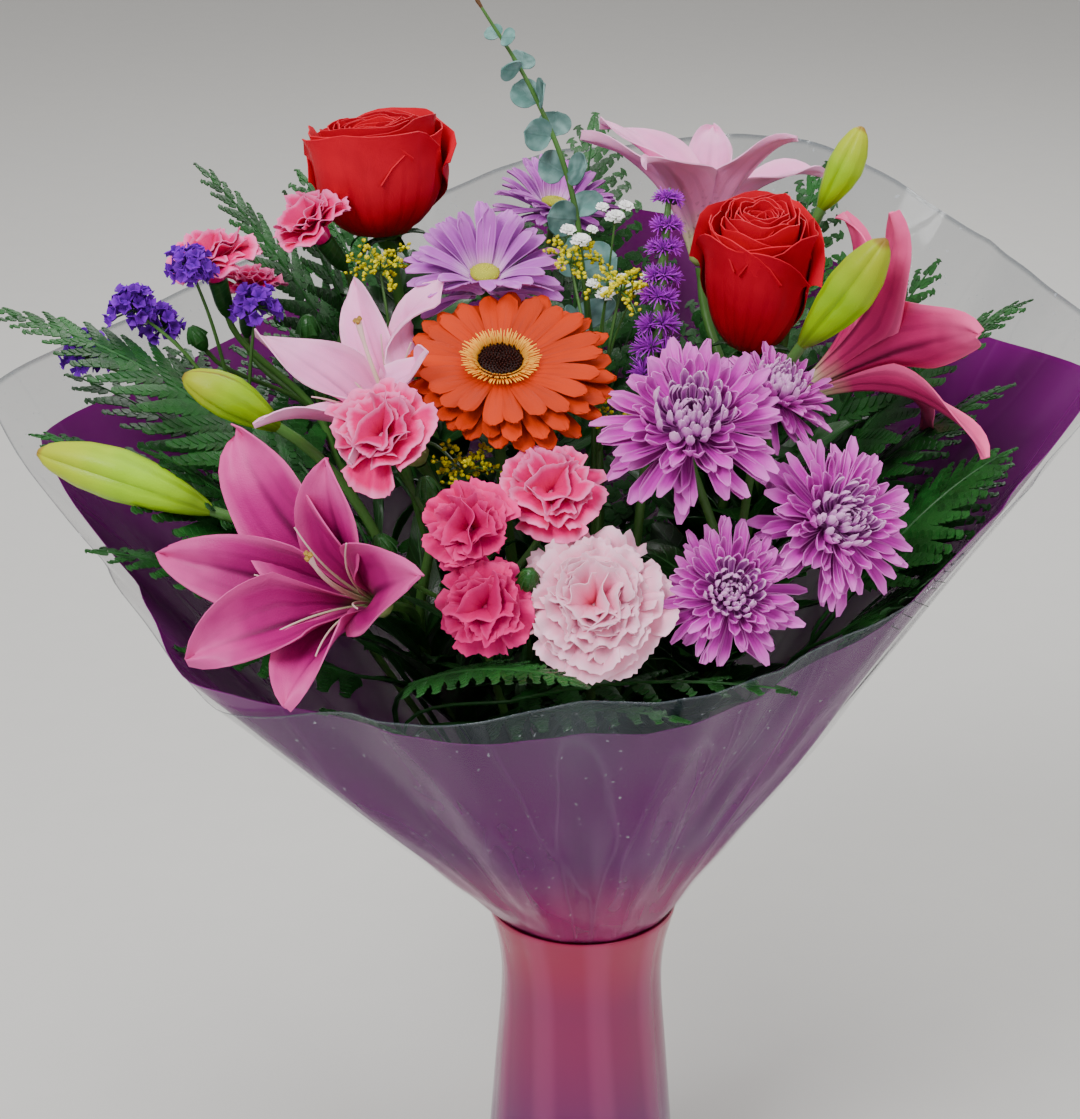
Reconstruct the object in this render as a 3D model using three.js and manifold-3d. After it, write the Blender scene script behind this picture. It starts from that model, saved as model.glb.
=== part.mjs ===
// Mixed flower bouquet wrapped in pink film and clear film, standing in a waisted pink glass vase.
// Millimetres, +Z up. The origin is on the vase's axis in its base plane; the arrangement faces -Y.
// Every node is one closed solid. Petals, rays and leaflets are fused into their own bloom or frond.
import * as THREE from 'three';
import Module from 'manifold-3d';

const wasm = await Module();
wasm.setup();
const { Manifold, Mesh } = wasm;

// Vase
const VASE_FLOOR = 14;
const VASE_SIDES = 16;
const VASE_OUTSIDE = [[47, 0], [52, 52], [48.4, 112], [44.2, 168], [45.6, 196], [50.4, 217]];
const VASE_INSIDE = [[46.6, 217], [41.6, 196], [40.2, 168], [44.4, 112], [47.6, 52], [43.5, 17]];

// Film wrappers
const FILM_THICKNESS = 0.7;
const FILM_SIDES = 20;
const FILM_FOOT = 138;
const PLEAT_COUNT = 10;
const FILM_SPACING = 4;
// Share of that spacing left in the vase's neck, where the films lie on each other
const FILM_NESTING = 0.28;
// Azimuth in degrees, how fast the wrapper widens per mm of height, rim heights of clear and pink film
const WRAPPER_RIM = [
  [0, 0.70, 535, 520], [28, 0.58, 560, 520], [55, 0.44, 600, 548], [90, 0.41, 589, 560],
  [120, 0.50, 556, 530], [150, 0.66, 528, 500], [180, 0.86, 513, 488], [200, 0.88, 452, 440],
  [218, 0.95, 402, 420], [240, 0.80, 418, 405], [270, 0.67, 428, 400], [300, 0.60, 426, 404],
  [320, 0.61, 440, 425], [340, 0.67, 492, 478],
];

// Distance kept between solids that touch in life
const GAP = 0.3;
const STEM_PITCH = 6.8;
// Edges shorter than this, left where petals meet, are merged away
const SMOOTHING = 0.15;
const NECK_HEIGHT = 205;

const COLOURS = {
  vase: 0xc9527e, pinkFilm: 0xc2468f, clearFilm: 0xcfd8dc, leaf: 0x2f6b2c, stem: 0x4c7a35,
  rose: 0xc40818, gerbera: 0xff4a0c, gerberaDisc: 0xd89a3a, lily: 0xe0709c, palePinkLily: 0xeaa4bd,
  anther: 0xc9b38a, paleCarnation: 0xf3bcc0, carnation: 0xee4f86, chrysanthemum: 0xc48acb,
  daisy: 0xbd8fd6, daisyDisc: 0xb5b63c, liatris: 0x8b32b4, statice: 0x5b33b8, fern: 0x2b6a35,
  eucalyptus: 0x6f9a90, gypsophila: 0xf2f2ee, solidago: 0xd9b81f,
};

// Where each bloom meets its stem, the way it faces, and its size
const ROSES = {
  rose_left: { at: [-101, 60, 578], faces: [-0.12, -0.12, 1], radius: 35, height: 62, spin: 20 },
  rose_right: { at: [82, -5, 538], faces: [0.02, -0.26, 1], radius: 32, height: 76, spin: 0 },
};
const GERBERA = { at: [-42, -66, 543], faces: [0.04, -0.42, 0.9], radius: 47 };
const LILIES = {
  lily_front: { at: [-95, -113, 446], faces: [-0.5, -0.72, 0.42], length: 104, spin: 12, colour: 'lily' },
  lily_mid: {
    at: [-80, -62, 498], faces: [-0.46, -0.2, 0.88], length: 92, spin: 40, colour: 'palePinkLily',
  },
  lily_back: { at: [60, 52, 562], faces: [0, 0.25, 0.95], length: 88, spin: 10, colour: 'palePinkLily' },
  lily_right: { at: [103, -36, 525], faces: [0.84, 0.02, 0.53], length: 100, spin: 30, colour: 'lily' },
};
const PALE_CARNATION = { at: [2, -140, 452], faces: [0, -0.72, 0.69], radius: 40 };
const SPRAY_CARNATIONS = {
  carnation_a: { at: [-93, -112, 526], faces: [-0.15, -0.7, 0.7], radius: 25 },
  carnation_b: { at: [-53, -136, 492], faces: [-0.2, -0.8, 0.56], radius: 21 },
  carnation_c: { at: [-19, -114, 497], faces: [0.1, -0.6, 0.8], radius: 24 },
  carnation_d: { at: [-46, -150, 462], faces: [-0.12, -0.9, 0.4], radius: 22 },
  carnation_e: { at: [-184, 16, 566], faces: [-0.2, -0.12, 1], radius: 23 },
  carnation_f: { at: [-131, 26, 584], faces: [-0.5, -0.25, 0.85], radius: 22 },
  carnation_g: { at: [-172, 42, 548], faces: [0.1, 0, 1], radius: 16 },
};
const CHRYSANTHEMUMS = {
  chrysanthemum_a: { at: [46, -104, 528], faces: [0, -0.66, 0.75], radius: 45, spin: 12 },
  chrysanthemum_b: { at: [111, -108, 484], faces: [0.36, -0.75, 0.55], radius: 41, spin: 9 },
  chrysanthemum_c: { at: [64, -138, 462], faces: [0.05, -0.85, 0.52], radius: 35, spin: 17 },
  chrysanthemum_d: { at: [88, -64, 528], faces: [0.3, -0.3, 0.9], radius: 30, spin: 5 },
};
const DAISIES = {
  daisy_left: { at: [-50, -8, 571], faces: [0.02, -0.3, 0.95], radius: 41 },
  daisy_back: { at: [-16, 86, 580], faces: [0.15, 0.0, 1], radius: 34 },
};
const LILY_BUDS = {
  left: [{ at: [-179, -88, 484], tip: [-263, -70, 507], radius: 13.5 },
    { at: [-146, -78, 522], tip: [-190, -80, 549], radius: 11 }],
  right: [{ at: [116, 20, 601], tip: [135, 20, 643], radius: 9.5 },
    { at: [101, -62, 558], tip: [136, -78, 614], radius: 12.5 }],
};
const LIATRIS = { foot: [31, -46, 528], top: [39, -24, 624], whorls: 8 };
// Sprays: where the stem ends, its direction and radius, the middle of each bunch of florets, the bunch's
// inner and outer radius, and the radius of the twigs
const SPRAYS = {
  statice: {
    end: [-176, 0, 500], dir: [-0.3, 0, 1], stem: 2, inner: 6.5, outer: 17, twig: 1,
    clusters: [[-192, -16, 580], [-226, 12, 552], [-164, 4, 556], [-254, 14, 526], [-214, 22, 540]],
  },
  solidago_centre: {
    end: [6, -40, 512], dir: [0, 0.2, 1], stem: 1.8, inner: 4.5, outer: 14, twig: 0.9,
    clusters: [[16, -28, 574], [-8, -8, 582], [18, -68, 520]],
  },
  solidago_left: {
    end: [-92, -20, 500], dir: [-0.1, 0, 1], stem: 1.8, inner: 4.5, outer: 14, twig: 0.9,
    clusters: [[-102, 6, 574], [-58, -96, 506]],
  },
  gypsophila: {
    end: [4, -10, 520], dir: [0, 0, 1], stem: 1.4, inner: 3, outer: 5.5, twig: 0.7,
    clusters: [[-3, -14, 594], [9, -24, 570], [24, -8, 568], [14, 6, 600]],
  },
};
const FERNS = {
  fern_left_long: { foot: [-140, -36, 478], tip: [-290, -2, 556], width: 62, rise: 26 },
  fern_left_low: { foot: [-150, -62, 452], tip: [-262, -52, 508], width: 54, rise: 12 },
  fern_left_high: { foot: [-110, 62, 480], tip: [-196, 88, 602], width: 50, rise: 20 },
  fern_front: { foot: [-84, -134, 414], tip: [-8, -196, 446], width: 30, rise: 14, pairs: 6 },
  fern_right_high: { foot: [128, 12, 470], tip: [214, 6, 556], width: 52, rise: 18 },
  fern_right_low: { foot: [134, -58, 432], tip: [202, -46, 496], width: 50, rise: 14 },
  fern_back_left: { foot: [-86, 76, 470], tip: [-150, 142, 584], width: 58, rise: 20, pairs: 5 },
  fern_back: { foot: [-8, 96, 480], tip: [6, 156, 610], width: 58, rise: 20, pairs: 5 },
  fern_back_right: { foot: [84, 78, 470], tip: [128, 132, 590], width: 58, rise: 20, pairs: 5 },
};
const EUCALYPTUS = {
  eucalyptus_tall: {
    path: [[4, 30, 520], [-6, 42, 600], [-26, 52, 652], [-54, 60, 697]], leaf: 13, pairs: 5,
  },
};
// Leaves on the stems: share of the way from the last bend to the end, azimuth, tilt from upright,
// length and half width
const LEAVES = {
  lily_left_stem: [[0.7, 200, 44, 105, 11], [0.3, 150, 40, 110, 11], [0.9, 262, 30, 86, 10]],
  lily_right_stem: [[0.75, 285, 42, 110, 11], [0.3, 330, 48, 110, 11], [0.2, 100, 30, 120, 12]],
  rose_right_stem: [[0.66, 20, 52, 66, 20], [0.5, 236, 40, 70, 20]],
  rose_left_stem: [[0.7, 190, 46, 66, 20], [0.5, 300, 30, 78, 22]],
};
const LEAF_THICKNESS = 0.9;

const rad = (degrees) => degrees * Math.PI / 180;
const vec = (p) => new THREE.Vector3(p[0], p[1], p[2]);
const lerp = (a, b, t) => a + (b - a) * t;

// Seeded draw, so that every run makes the same bouquet
let seed = 7;
function draw(from, to) {
  seed = (seed * 16807) % 2147483647;
  return from + (to - from) * (seed / 2147483647);
}

// A closed solid from points and triangles, turned right side out
function solidFrom(points, triangles) {
  let volume = 0;
  for (const [a, b, c] of triangles) {
    volume += points[a].dot(points[b].clone().cross(points[c]));
  }
  const order = volume < 0 ? ([a, b, c]) => [a, c, b] : (t) => t;
  const vertProperties = new Float32Array(points.flatMap((p) => [p.x, p.y, p.z]));
  const triVerts = new Uint32Array(triangles.map(order).flat());
  const solid = new Manifold(new Mesh({ numProp: 3, vertProperties, triVerts }));
  return solid;
}

// A thin slab with the same triangles on both faces and walls along every open edge
function slab(points, faces, thickness) {
  const normals = points.map(() => new THREE.Vector3());
  const open = new Map();
  for (const [a, b, c] of faces) {
    const n = points[b].clone().sub(points[a]).cross(points[c].clone().sub(points[a]));
    [a, b, c].forEach((k) => normals[k].add(n));
    [[a, b], [b, c], [c, a]].forEach(([p, q]) => {
      if (!open.delete(`${q},${p}`)) open.set(`${p},${q}`, [p, q]);
    });
  }
  normals.forEach((n) => n.setLength(thickness / 2));
  const count = points.length;
  const upper = points.map((p, k) => p.clone().add(normals[k]));
  const both = [...upper, ...points.map((p, k) => p.clone().sub(normals[k]))];
  const triangles = [];
  for (const [a, b, c] of faces) {
    triangles.push([a, b, c], [count + a, count + c, count + b]);
  }
  for (const [p, q] of open.values()) {
    triangles.push([q, p, count + p], [q, count + p, count + q]);
  }
  return solidFrom(both, triangles);
}

// Triangles between rows of points that run from side to side, each row with its own share of points
function zipRows(rows, shape) {
  const points = [];
  const faces = [];
  const starts = rows.map(([t, across]) => {
    const start = points.length;
    across.forEach((s) => points.push(shape(t, s)));
    return start;
  });
  for (let r = 0; r + 1 < rows.length; r += 1) {
    const low = rows[r][1];
    const high = rows[r + 1][1];
    let i = 0;
    let j = 0;
    while (i < low.length - 1 || j < high.length - 1) {
      const stepLow = j === high.length - 1 || (i < low.length - 1 && low[i + 1] <= high[j + 1]);
      if (stepLow) {
        faces.push([starts[r] + i, starts[r] + i + 1, starts[r + 1] + j]);
        i += 1;
      } else {
        faces.push([starts[r] + i, starts[r + 1] + j + 1, starts[r + 1] + j]);
        j += 1;
      }
    }
  }
  return { points, faces };
}

function bladeFrom(rows, shape, thickness) {
  const { points, faces } = zipRows(rows, shape);
  return slab(points, faces, thickness);
}

// A slender keeled petal: three sides, closed at the root, drawn to a point at the tip
function quillFrom(steps, shape, depth) {
  const sections = steps.map((t) => {
    const left = shape(t, -1);
    const right = shape(t, 1);
    const middle = shape(t, 0);
    const ahead = shape(t + 0.02, 0).sub(middle);
    const keel = right.clone().sub(left).cross(ahead).setLength(-depth * (1 - 0.5 * t));
    return [left, right, middle.add(keel)];
  });
  sections.push([shape(1, 0)]);
  const spans = sections.slice(1).map((section, k) => [...sections[k], ...section].map((p) => p.toArray()));
  return Manifold.union(spans.map((corners) => Manifold.hull(corners)));
}

// A solid of revolution about +Z whose profile starts and ends on the axis
function turned(profile, sides, twist = 0) {
  const points = [new THREE.Vector3(0, 0, profile[0][1])];
  const triangles = [];
  const rings = profile.slice(1, -1);
  for (const [r, z] of rings) {
    for (let k = 0; k < sides; k += 1) {
      const a = 2 * Math.PI * k / sides + twist;
      points.push(new THREE.Vector3(r * Math.cos(a), r * Math.sin(a), z));
    }
  }
  const last = points.push(new THREE.Vector3(0, 0, profile[profile.length - 1][1])) - 1;
  for (let k = 0; k < sides; k += 1) {
    const n = (k + 1) % sides;
    triangles.push([0, 1 + n, 1 + k]);
    for (let r = 0; r + 1 < rings.length; r += 1) {
      const a = 1 + r * sides;
      triangles.push([a + k, a + n, a + sides + n], [a + k, a + sides + n, a + sides + k]);
    }
    const top = 1 + (rings.length - 1) * sides;
    triangles.push([top + k, top + n, last]);
  }
  return solidFrom(points, triangles);
}

// A round rod through points with a radius at each, flat at both ends and square to startDir and endDir
function rod(path, radii, sides, endDir) {
  const points = [];
  const triangles = [];
  let across = null;
  path.forEach((p, i) => {
    const before = path[Math.max(i - 1, 0)];
    const after = path[Math.min(i + 1, path.length - 1)];
    const along = i === path.length - 1 && endDir ? endDir.clone() : after.clone().sub(before);
    if (i === 0 && path[0].z < VASE_FLOOR + 1) along.set(0, 0, 1);
    along.normalize();
    if (!across) across = Math.abs(along.x) < 0.8 ? new THREE.Vector3(1, 0, 0) : new THREE.Vector3(0, 1, 0);
    across.addScaledVector(along, -across.dot(along)).normalize();
    const other = along.clone().cross(across);
    for (let k = 0; k < sides; k += 1) {
      const a = 2 * Math.PI * k / sides;
      const spoke = across.clone().multiplyScalar(Math.cos(a)).addScaledVector(other, Math.sin(a));
      points.push(p.clone().addScaledVector(spoke, radii[i]));
    }
  });
  for (let k = 0; k < sides; k += 1) {
    const n = (k + 1) % sides;
    for (let r = 0; r + 1 < path.length; r += 1) {
      const a = r * sides;
      triangles.push([a + k, a + n, a + sides + n], [a + k, a + sides + n, a + sides + k]);
    }
  }
  const top = (path.length - 1) * sides;
  for (let k = 1; k + 1 < sides; k += 1) {
    triangles.push([0, k + 1, k], [top, top + k, top + k + 1]);
  }
  return solidFrom(points, triangles);
}

// The turn and shift that stand a local solid at a place, its +Z along the way it faces
function stance(at, faces, spin = 0) {
  const z = vec(faces).normalize();
  const x = new THREE.Vector3(1, 0, 0);
  x.addScaledVector(z, -x.dot(z)).normalize();
  const y = z.clone().cross(x);
  const matrix = new THREE.Matrix4().makeBasis(x, y, z);
  matrix.multiply(new THREE.Matrix4().makeRotationZ(rad(spin)));
  return matrix.setPosition(vec(at).addScaledVector(z, GAP));
}

function moved(solid, matrix) {
  return solid.transform(matrix.elements);
}

// The bouquet's solids so far; a new petal or leaf is kept only where it is clear of the other nodes
const solids = new Map();
const colours = new Map();

function isClear(piece, own) {
  const { min, max } = piece.boundingBox();
  for (const [name, solid] of solids) {
    if (name === own) continue;
    const box = solid.boundingBox();
    const apart = [0, 1, 2].some((k) => min[k] > box.max[k] + GAP || max[k] < box.min[k] - GAP);
    if (!apart && piece.minGap(solid, 1) < 0.9 * GAP) return false;
  }
  return true;
}

function addNode(name, colour, solid) {
  solids.set(name, solid);
  colours.set(name, colour);
}

// Adds pieces to a node; each piece is a list of makers, from the wished shape to the most bent one
function growNode(name, matrix, makers) {
  const kept = [solids.get(name)];
  for (const variants of makers) {
    for (const make of variants) {
      const piece = matrix ? moved(make(), matrix) : make();
      if (isClear(piece, name)) {
        kept.push(piece);
        break;
      }
    }
  }
  const bodies = Manifold.union(kept).simplify(SMOOTHING).decompose();
  bodies.sort((a, b) => b.volume() - a.volume());
  solids.set(name, bodies[0]);
  return kept.length - 1;
}

// Centre line of a petal: an arc whose angle to the bloom's axis goes from one value to another
function arcAt(length, from, to, t) {
  const a = rad(from);
  const turn = rad(to - from) || 1e-6;
  const b = a + turn * t;
  const radius = length / turn;
  return { out: radius * (Math.cos(a) - Math.cos(b)), up: radius * (Math.sin(b) - Math.sin(a)), angle: b };
}

// Surface of a petal at an azimuth: t from root to tip, s from side to side
function petalSurface(petal) {
  const { azimuth, root, rise, length, from, to, width, outline } = petal;
  const { cup = 0, wave = 0, skew = 0, wrap = 0 } = petal;
  const turn = new THREE.Matrix4().makeRotationZ(rad(azimuth));
  return (t, s) => {
    const line = arcAt(length, from, to, t);
    const half = width * outline(t);
    const lift = cup * s * s * half + wave * s * Math.sin(5 * t + azimuth);
    const out = root + line.out - lift * Math.cos(line.angle);
    const up = rise + line.up + lift * Math.sin(line.angle);
    if (wrap) {
      const round = s * Math.min(half / out, rad(wrap));
      return new THREE.Vector3(out * Math.cos(round), out * Math.sin(round), up).applyMatrix4(turn);
    }
    return new THREE.Vector3(out, s * half + skew * t * t, up).applyMatrix4(turn);
  };
}

// Makers for one petal: as wished, then lifted, laid back and shortened until one is clear
function bent(petal, make) {
  const changes = [
    [0, 1], [-9, 1], [8, 1], [-18, 0.95], [16, 0.9], [-10, 0.8], [8, 0.75], [0, 0.6], [-14, 0.6],
  ];
  return changes.map(([tilt, size]) => () => make(petalSurface({
    ...petal, to: petal.to + tilt, from: petal.from + tilt * 0.4, length: petal.length * size,
  })));
}

const PETAL_ROWS = [[0, [-1, 1]], [0.3, [-1, 0, 1]], [0.6, [-1, 0, 1]], [0.84, [-1, 1]], [1, [0]]];
const LEAF_ROWS = [[0, [-1, 1]], [0.3, [-1, 0, 1]], [0.65, [-1, 0, 1]], [1, [0]]];
const lilyOutline = (t) => (
  0.15 * (1 - t) + Math.pow(Math.max(Math.sin(Math.PI * Math.pow(t, 1.15)), 0), 0.9)
);
const leafOutline = (t) => 0.08 * (1 - t) + Math.sin(Math.PI * Math.pow(t, 0.85));
const rayOutline = (t) => 0.28 + 1.3 * t - 0.85 * t * t;

function vase() {
  const lip = [[49.6, 220], [47.4, 220]];
  const profile = [[0, 0], ...VASE_OUTSIDE, ...lip, ...VASE_INSIDE, [41, VASE_FLOOR], [0, VASE_FLOOR]];
  addNode('vase', 'vase', turned(profile, VASE_SIDES));
}

// Slope and rim height of the wrapper at an azimuth, eased between the listed ones
function rimAt(degrees, column) {
  const count = WRAPPER_RIM.length;
  const next = WRAPPER_RIM.findIndex((row) => row[0] > degrees);
  const k = next === -1 ? count - 1 : next - 1;
  const low = WRAPPER_RIM[k];
  const high = WRAPPER_RIM[(k + 1) % count];
  const end = k === count - 1 ? 360 : high[0];
  const t = (degrees - low[0]) / (end - low[0]);
  return lerp(low[column], high[column], t * t * (3 - 2 * t));
}

// A pleated sleeve: foot in the vase's neck, over the lip, then flaring to its own uneven rim
function film(name, colour, inset, heightColumn) {
  const nested = inset * FILM_NESTING;
  const neck = [
    [37.6 - nested, FILM_FOOT], [39.4 - nested, NECK_HEIGHT], [43.8 - inset, 218], [48.2 - inset, 222.6],
  ];
  const points = [];
  const faces = [];
  for (let i = 0; i < FILM_SIDES; i += 1) {
    const degrees = 360 * i / FILM_SIDES;
    const azimuth = rad(degrees);
    const fold = i % (FILM_SIDES / PLEAT_COUNT);
    const top = rimAt(degrees, heightColumn);
    const slope = rimAt(degrees, 1);
    const rows = neck.map(([r, z], k) => [r - (k < 2 ? 2.4 : 0.6) * fold, z]);
    rows.push([50.5 - inset + (top - 223) * slope - 7 * fold, top]);
    for (const [r, z] of rows) {
      points.push(new THREE.Vector3(r * Math.cos(azimuth), r * Math.sin(azimuth), z));
    }
  }
  const height = neck.length + 1;
  for (let i = 0; i < FILM_SIDES; i += 1) {
    for (let j = 0; j + 1 < height; j += 1) {
      const a = i * height + j;
      const b = ((i + 1) % FILM_SIDES) * height + j;
      faces.push([a, b, b + 1], [a, b + 1, a + 1]);
    }
  }
  addNode(name, colour, slab(points, faces, FILM_THICKNESS));
}

// Places in the neck for the stems: each wished towards its bloom, then pushed apart to the pitch
function neckPlaces(ends) {
  const places = ends.map((end) => {
    const reach = 26 / (end[2] - NECK_HEIGHT);
    return new THREE.Vector2(end[0] * reach, end[1] * reach);
  });
  for (let round = 0; round < 400; round += 1) {
    for (let i = 0; i < places.length; i += 1) {
      for (let j = i + 1; j < places.length; j += 1) {
        const away = places[i].clone().sub(places[j]);
        const missing = STEM_PITCH - away.length();
        if (missing > 0) {
          away.setLength(missing * 0.26);
          places[i].add(away);
          places[j].sub(away);
        }
      }
      places[i].clampLength(0, 27);
    }
  }
  return places;
}

function curveBetween(start, startDir, end, endDir, steps) {
  const span = start.distanceTo(end);
  const a = start.clone().addScaledVector(startDir, span * 0.35);
  const b = end.clone().addScaledVector(endDir, -span * 0.3);
  const curve = new THREE.CubicBezierCurve3(start, a, b, end);
  return steps.map((t) => curve.getPoint(t));
}

const stemLines = new Map();

// A stem from the vase's floor through its place in the neck to an end, with radii along its last part
function stem(name, place, end, endDir, radius, ending = []) {
  const foot = new THREE.Vector3(place.x * 1.15, place.y * 1.15, VASE_FLOOR + GAP);
  const neck = new THREE.Vector3(place.x, place.y, NECK_HEIGHT);
  const dir = endDir.clone().normalize();
  const back = ending.length ? ending[0][0] : 0;
  const join = end.clone().addScaledVector(dir, -back);
  const rising = join.clone().sub(neck).normalize().add(new THREE.Vector3(0, 0, 0.35)).normalize();
  const line = curveBetween(neck, rising, join, dir, [0.3, 0.6, 1]);
  const calyx = ending.slice(1);
  const path = [foot, neck, ...line, ...calyx.map(([before]) => end.clone().addScaledVector(dir, -before))];
  const radii = [radius, radius, radius * 0.95, radius * 0.9, radius * 0.85, ...calyx.map(([, r]) => r)];
  stemLines.set(name, path.slice(1, 5));
  return rod(path, radii, radius < 2.5 ? 4 : 5, dir);
}

// A side branch from a fork to an end
function branch(fork, forkDir, end, endDir, radius, ending = [], sides = 4) {
  const dir = endDir.clone().normalize();
  const back = ending.length ? ending[0][0] : 0;
  const join = end.clone().addScaledVector(dir, -back);
  const line = curveBetween(fork, forkDir, join, dir, [0.45, 1]);
  const calyx = ending.slice(1);
  const path = [fork, ...line, ...calyx.map(([before]) => end.clone().addScaledVector(dir, -before))];
  const radii = [radius, radius, radius * 0.9, ...calyx.map(([, r]) => r)];
  return rod(path, radii, sides, dir);
}

// Distance before the bloom and radius, from stem to receptacle
const CALYX = {
  rose: [[14, 0], [7, 4.4], [0, 7.5]],
  carnation: [[20, 0], [14, 4], [0, 5]],
  gerbera: [[9, 0], [4, 5], [0, 9]],
  chrysanthemum: [[7, 0], [0, 6]],
  lily: [[5, 0], [0, 3.2]],
};

// Stems that end in one bloom, and stems that fork into several
const sprayCarnations = (letters) => letters.map((letter) => SPRAY_CARNATIONS[`carnation_${letter}`]);
const FORKS = {
  lily_left_stem: {
    fork: [-82, -60, 404], radius: 3.2, kind: 'lily', buds: 'left',
    heads: [LILIES.lily_front, LILIES.lily_mid],
  },
  lily_right_stem: {
    fork: [86, -4, 452], radius: 3.2, kind: 'lily', buds: 'right',
    heads: [LILIES.lily_back, LILIES.lily_right],
  },
  carnation_front_stem: {
    fork: [-50, -98, 424], radius: 2.2, kind: 'carnation', heads: sprayCarnations(['a', 'b', 'c', 'd']),
  },
  carnation_left_stem: {
    fork: [-134, 26, 486], radius: 2.2, kind: 'carnation', heads: sprayCarnations(['e', 'f', 'g']),
  },
  chrysanthemum_stem: {
    fork: [68, -78, 424], radius: 2.8, kind: 'chrysanthemum', heads: Object.values(CHRYSANTHEMUMS),
  },
  daisy_stem: {
    fork: [-32, 18, 500], radius: 2.4, kind: 'chrysanthemum', heads: Object.values(DAISIES),
  },
};
const SINGLES = {
  rose_left_stem: { head: ROSES.rose_left, radius: 3.2, kind: 'rose' },
  rose_right_stem: { head: ROSES.rose_right, radius: 3.2, kind: 'rose' },
  gerbera_stem: { head: GERBERA, radius: 3, kind: 'gerbera' },
  pale_carnation_stem: { head: PALE_CARNATION, radius: 2.6, kind: 'carnation' },
};

function allStems() {
  const singles = Object.entries(SINGLES);
  const forks = Object.entries(FORKS);
  const ferns = Object.entries(FERNS);
  const sprays = [
    ['liatris', LIATRIS.foot, vec(LIATRIS.top).sub(vec(LIATRIS.foot)), 2.6],
    ...Object.entries(SPRAYS).map(([name, { end, dir, stem: radius }]) => [name, end, vec(dir), radius]),
    ...Object.entries(EUCALYPTUS).map(([name, { path }]) => (
      [name, path[0], vec(path[1]).sub(vec(path[0])), 2.2])),
  ];
  const ends = [
    ...singles.map(([, s]) => s.head.at),
    ...forks.map(([, f]) => f.fork),
    ...ferns.map(([, f]) => f.foot),
    ...sprays.map(([, end]) => end),
  ];
  const places = neckPlaces(ends);
  let next = 0;
  for (const [name, s] of singles) {
    const dir = vec(s.head.faces);
    addNode(name, 'stem', stem(name, places[next++], vec(s.head.at), dir, s.radius, CALYX[s.kind]));
  }
  for (const [name, f] of forks) {
    const fork = vec(f.fork);
    const place = places[next++];
    const neck = new THREE.Vector3(place.x, place.y, NECK_HEIGHT);
    const lean = fork.clone().sub(neck).normalize().add(new THREE.Vector3(0, 0, 0.3)).normalize();
    const parts = [stem(name, place, fork, lean, f.radius)];
    const start = fork.clone().addScaledVector(lean, -4);
    for (const head of f.heads) {
      const dir = vec(head.faces).normalize();
      parts.push(branch(start, lean, vec(head.at), dir, f.radius * 0.8, CALYX[f.kind]));
    }
    for (const bud of LILY_BUDS[f.buds] || []) {
      parts.push(lilyBud(start, lean, bud));
    }
    addNode(name, 'stem', Manifold.union(parts));
  }
  for (const [name, f] of ferns) {
    const foot = vec(f.foot);
    const ahead = fernRib(f).getTangent(0);
    addNode(name, 'fern', stem(name, places[next++], foot.clone().addScaledVector(ahead, 8), ahead, 1.5));
  }
  for (const [name, end, dir, radius] of sprays) {
    addNode(name, name.split('_')[0], stem(name, places[next++], vec(end), dir, radius));
  }
}

// A closed lily bud on its own stalk
function lilyBud(fork, forkDir, bud) {
  const base = vec(bud.at);
  const tip = vec(bud.tip);
  const dir = tip.clone().sub(base);
  const length = dir.length();
  dir.normalize();
  const shares = [[0.15, 0.55], [0.5, 1], [0.85, 0.75], [1, 0.2]];
  const line = curveBetween(fork, forkDir, base, dir, [0.5, 0.97]);
  const path = [fork, ...line, ...shares.map(([t]) => base.clone().addScaledVector(dir, length * t))];
  const radii = [2.4, 2.4, 2.6, ...shares.map(([, r]) => r * bud.radius)];
  return rod(path, radii, 5, dir);
}

// A cupped rose petal that wraps the heart; its edges lie over one neighbour and under the other
function rosePetal({ azimuth, span, radius, low, top, flare, heart }) {
  const outline = (t) => 0.45 + 0.55 * Math.sin(Math.PI * Math.min(t, 0.8) / 1.6);
  return (t, s) => {
    const a = rad(azimuth + s * span * outline(t));
    const swell = Math.pow(Math.sin(Math.min(1.25 * t, 1) * Math.PI / 2), 0.8);
    const out = lerp(heart, radius, swell) + flare * Math.pow(t, 5) + 0.05 * radius * s;
    const up = lerp(low, top, t) - 0.1 * top * s * s * t - 0.25 * flare * Math.pow(t, 8);
    return new THREE.Vector3(out * Math.cos(a), out * Math.sin(a), up);
  };
}

const ROSE_ROWS = [[0, [-1, 1]], [0.45, [-1, 0, 1]], [1, [-0.8, 0, 0.8]]];

function roseHeart(name, { at, faces, height, spin }) {
  const heart = [[0, 0], [7, 0], [9, 5], [7.5, 12], [5, 0.85 * height], [0, 0.92 * height]];
  addNode(name, 'rose', moved(turned(heart, 6), stance(at, faces, spin)));
}

// Rings of rose petals: count, half span, shares of radius and height, flare, first azimuth, heart, low end
const ROSE_RINGS = [
  [2, 82, 0.36, 0.99, 0, 90, 4.5, 9], [3, 56, 0.58, 0.96, 0, 20, 5.5, 7],
  [3, 57, 0.79, 0.93, 0, 80, 6.5, 5], [5, 35, 1, 0.86, 3, 36, 7, 3],
];

function rosePetals(name, { at, faces, radius, height, spin }) {
  const matrix = stance(at, faces, spin);
  const makers = [];
  for (const [count, span, share, topShare, flare, turn, heart, low] of ROSE_RINGS) {
    const top = height * topShare;
    for (let k = 0; k < count; k += 1) {
      const azimuth = turn + 360 * k / count;
      const base = { azimuth, span, radius: radius * share, low, heart, flare, top };
      const lower = { span: span * 0.6, flare: 0, top: top * 0.8 };
      const tries = [{}, { flare: 1 }, { span: span * 0.7 }, lower];
      makers.push(tries.map((change) => () => (
        bladeFrom(ROSE_ROWS, rosePetal({ ...base, ...change }), LEAF_THICKNESS))));
    }
  }
  growNode(name, matrix, makers);
}

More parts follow.
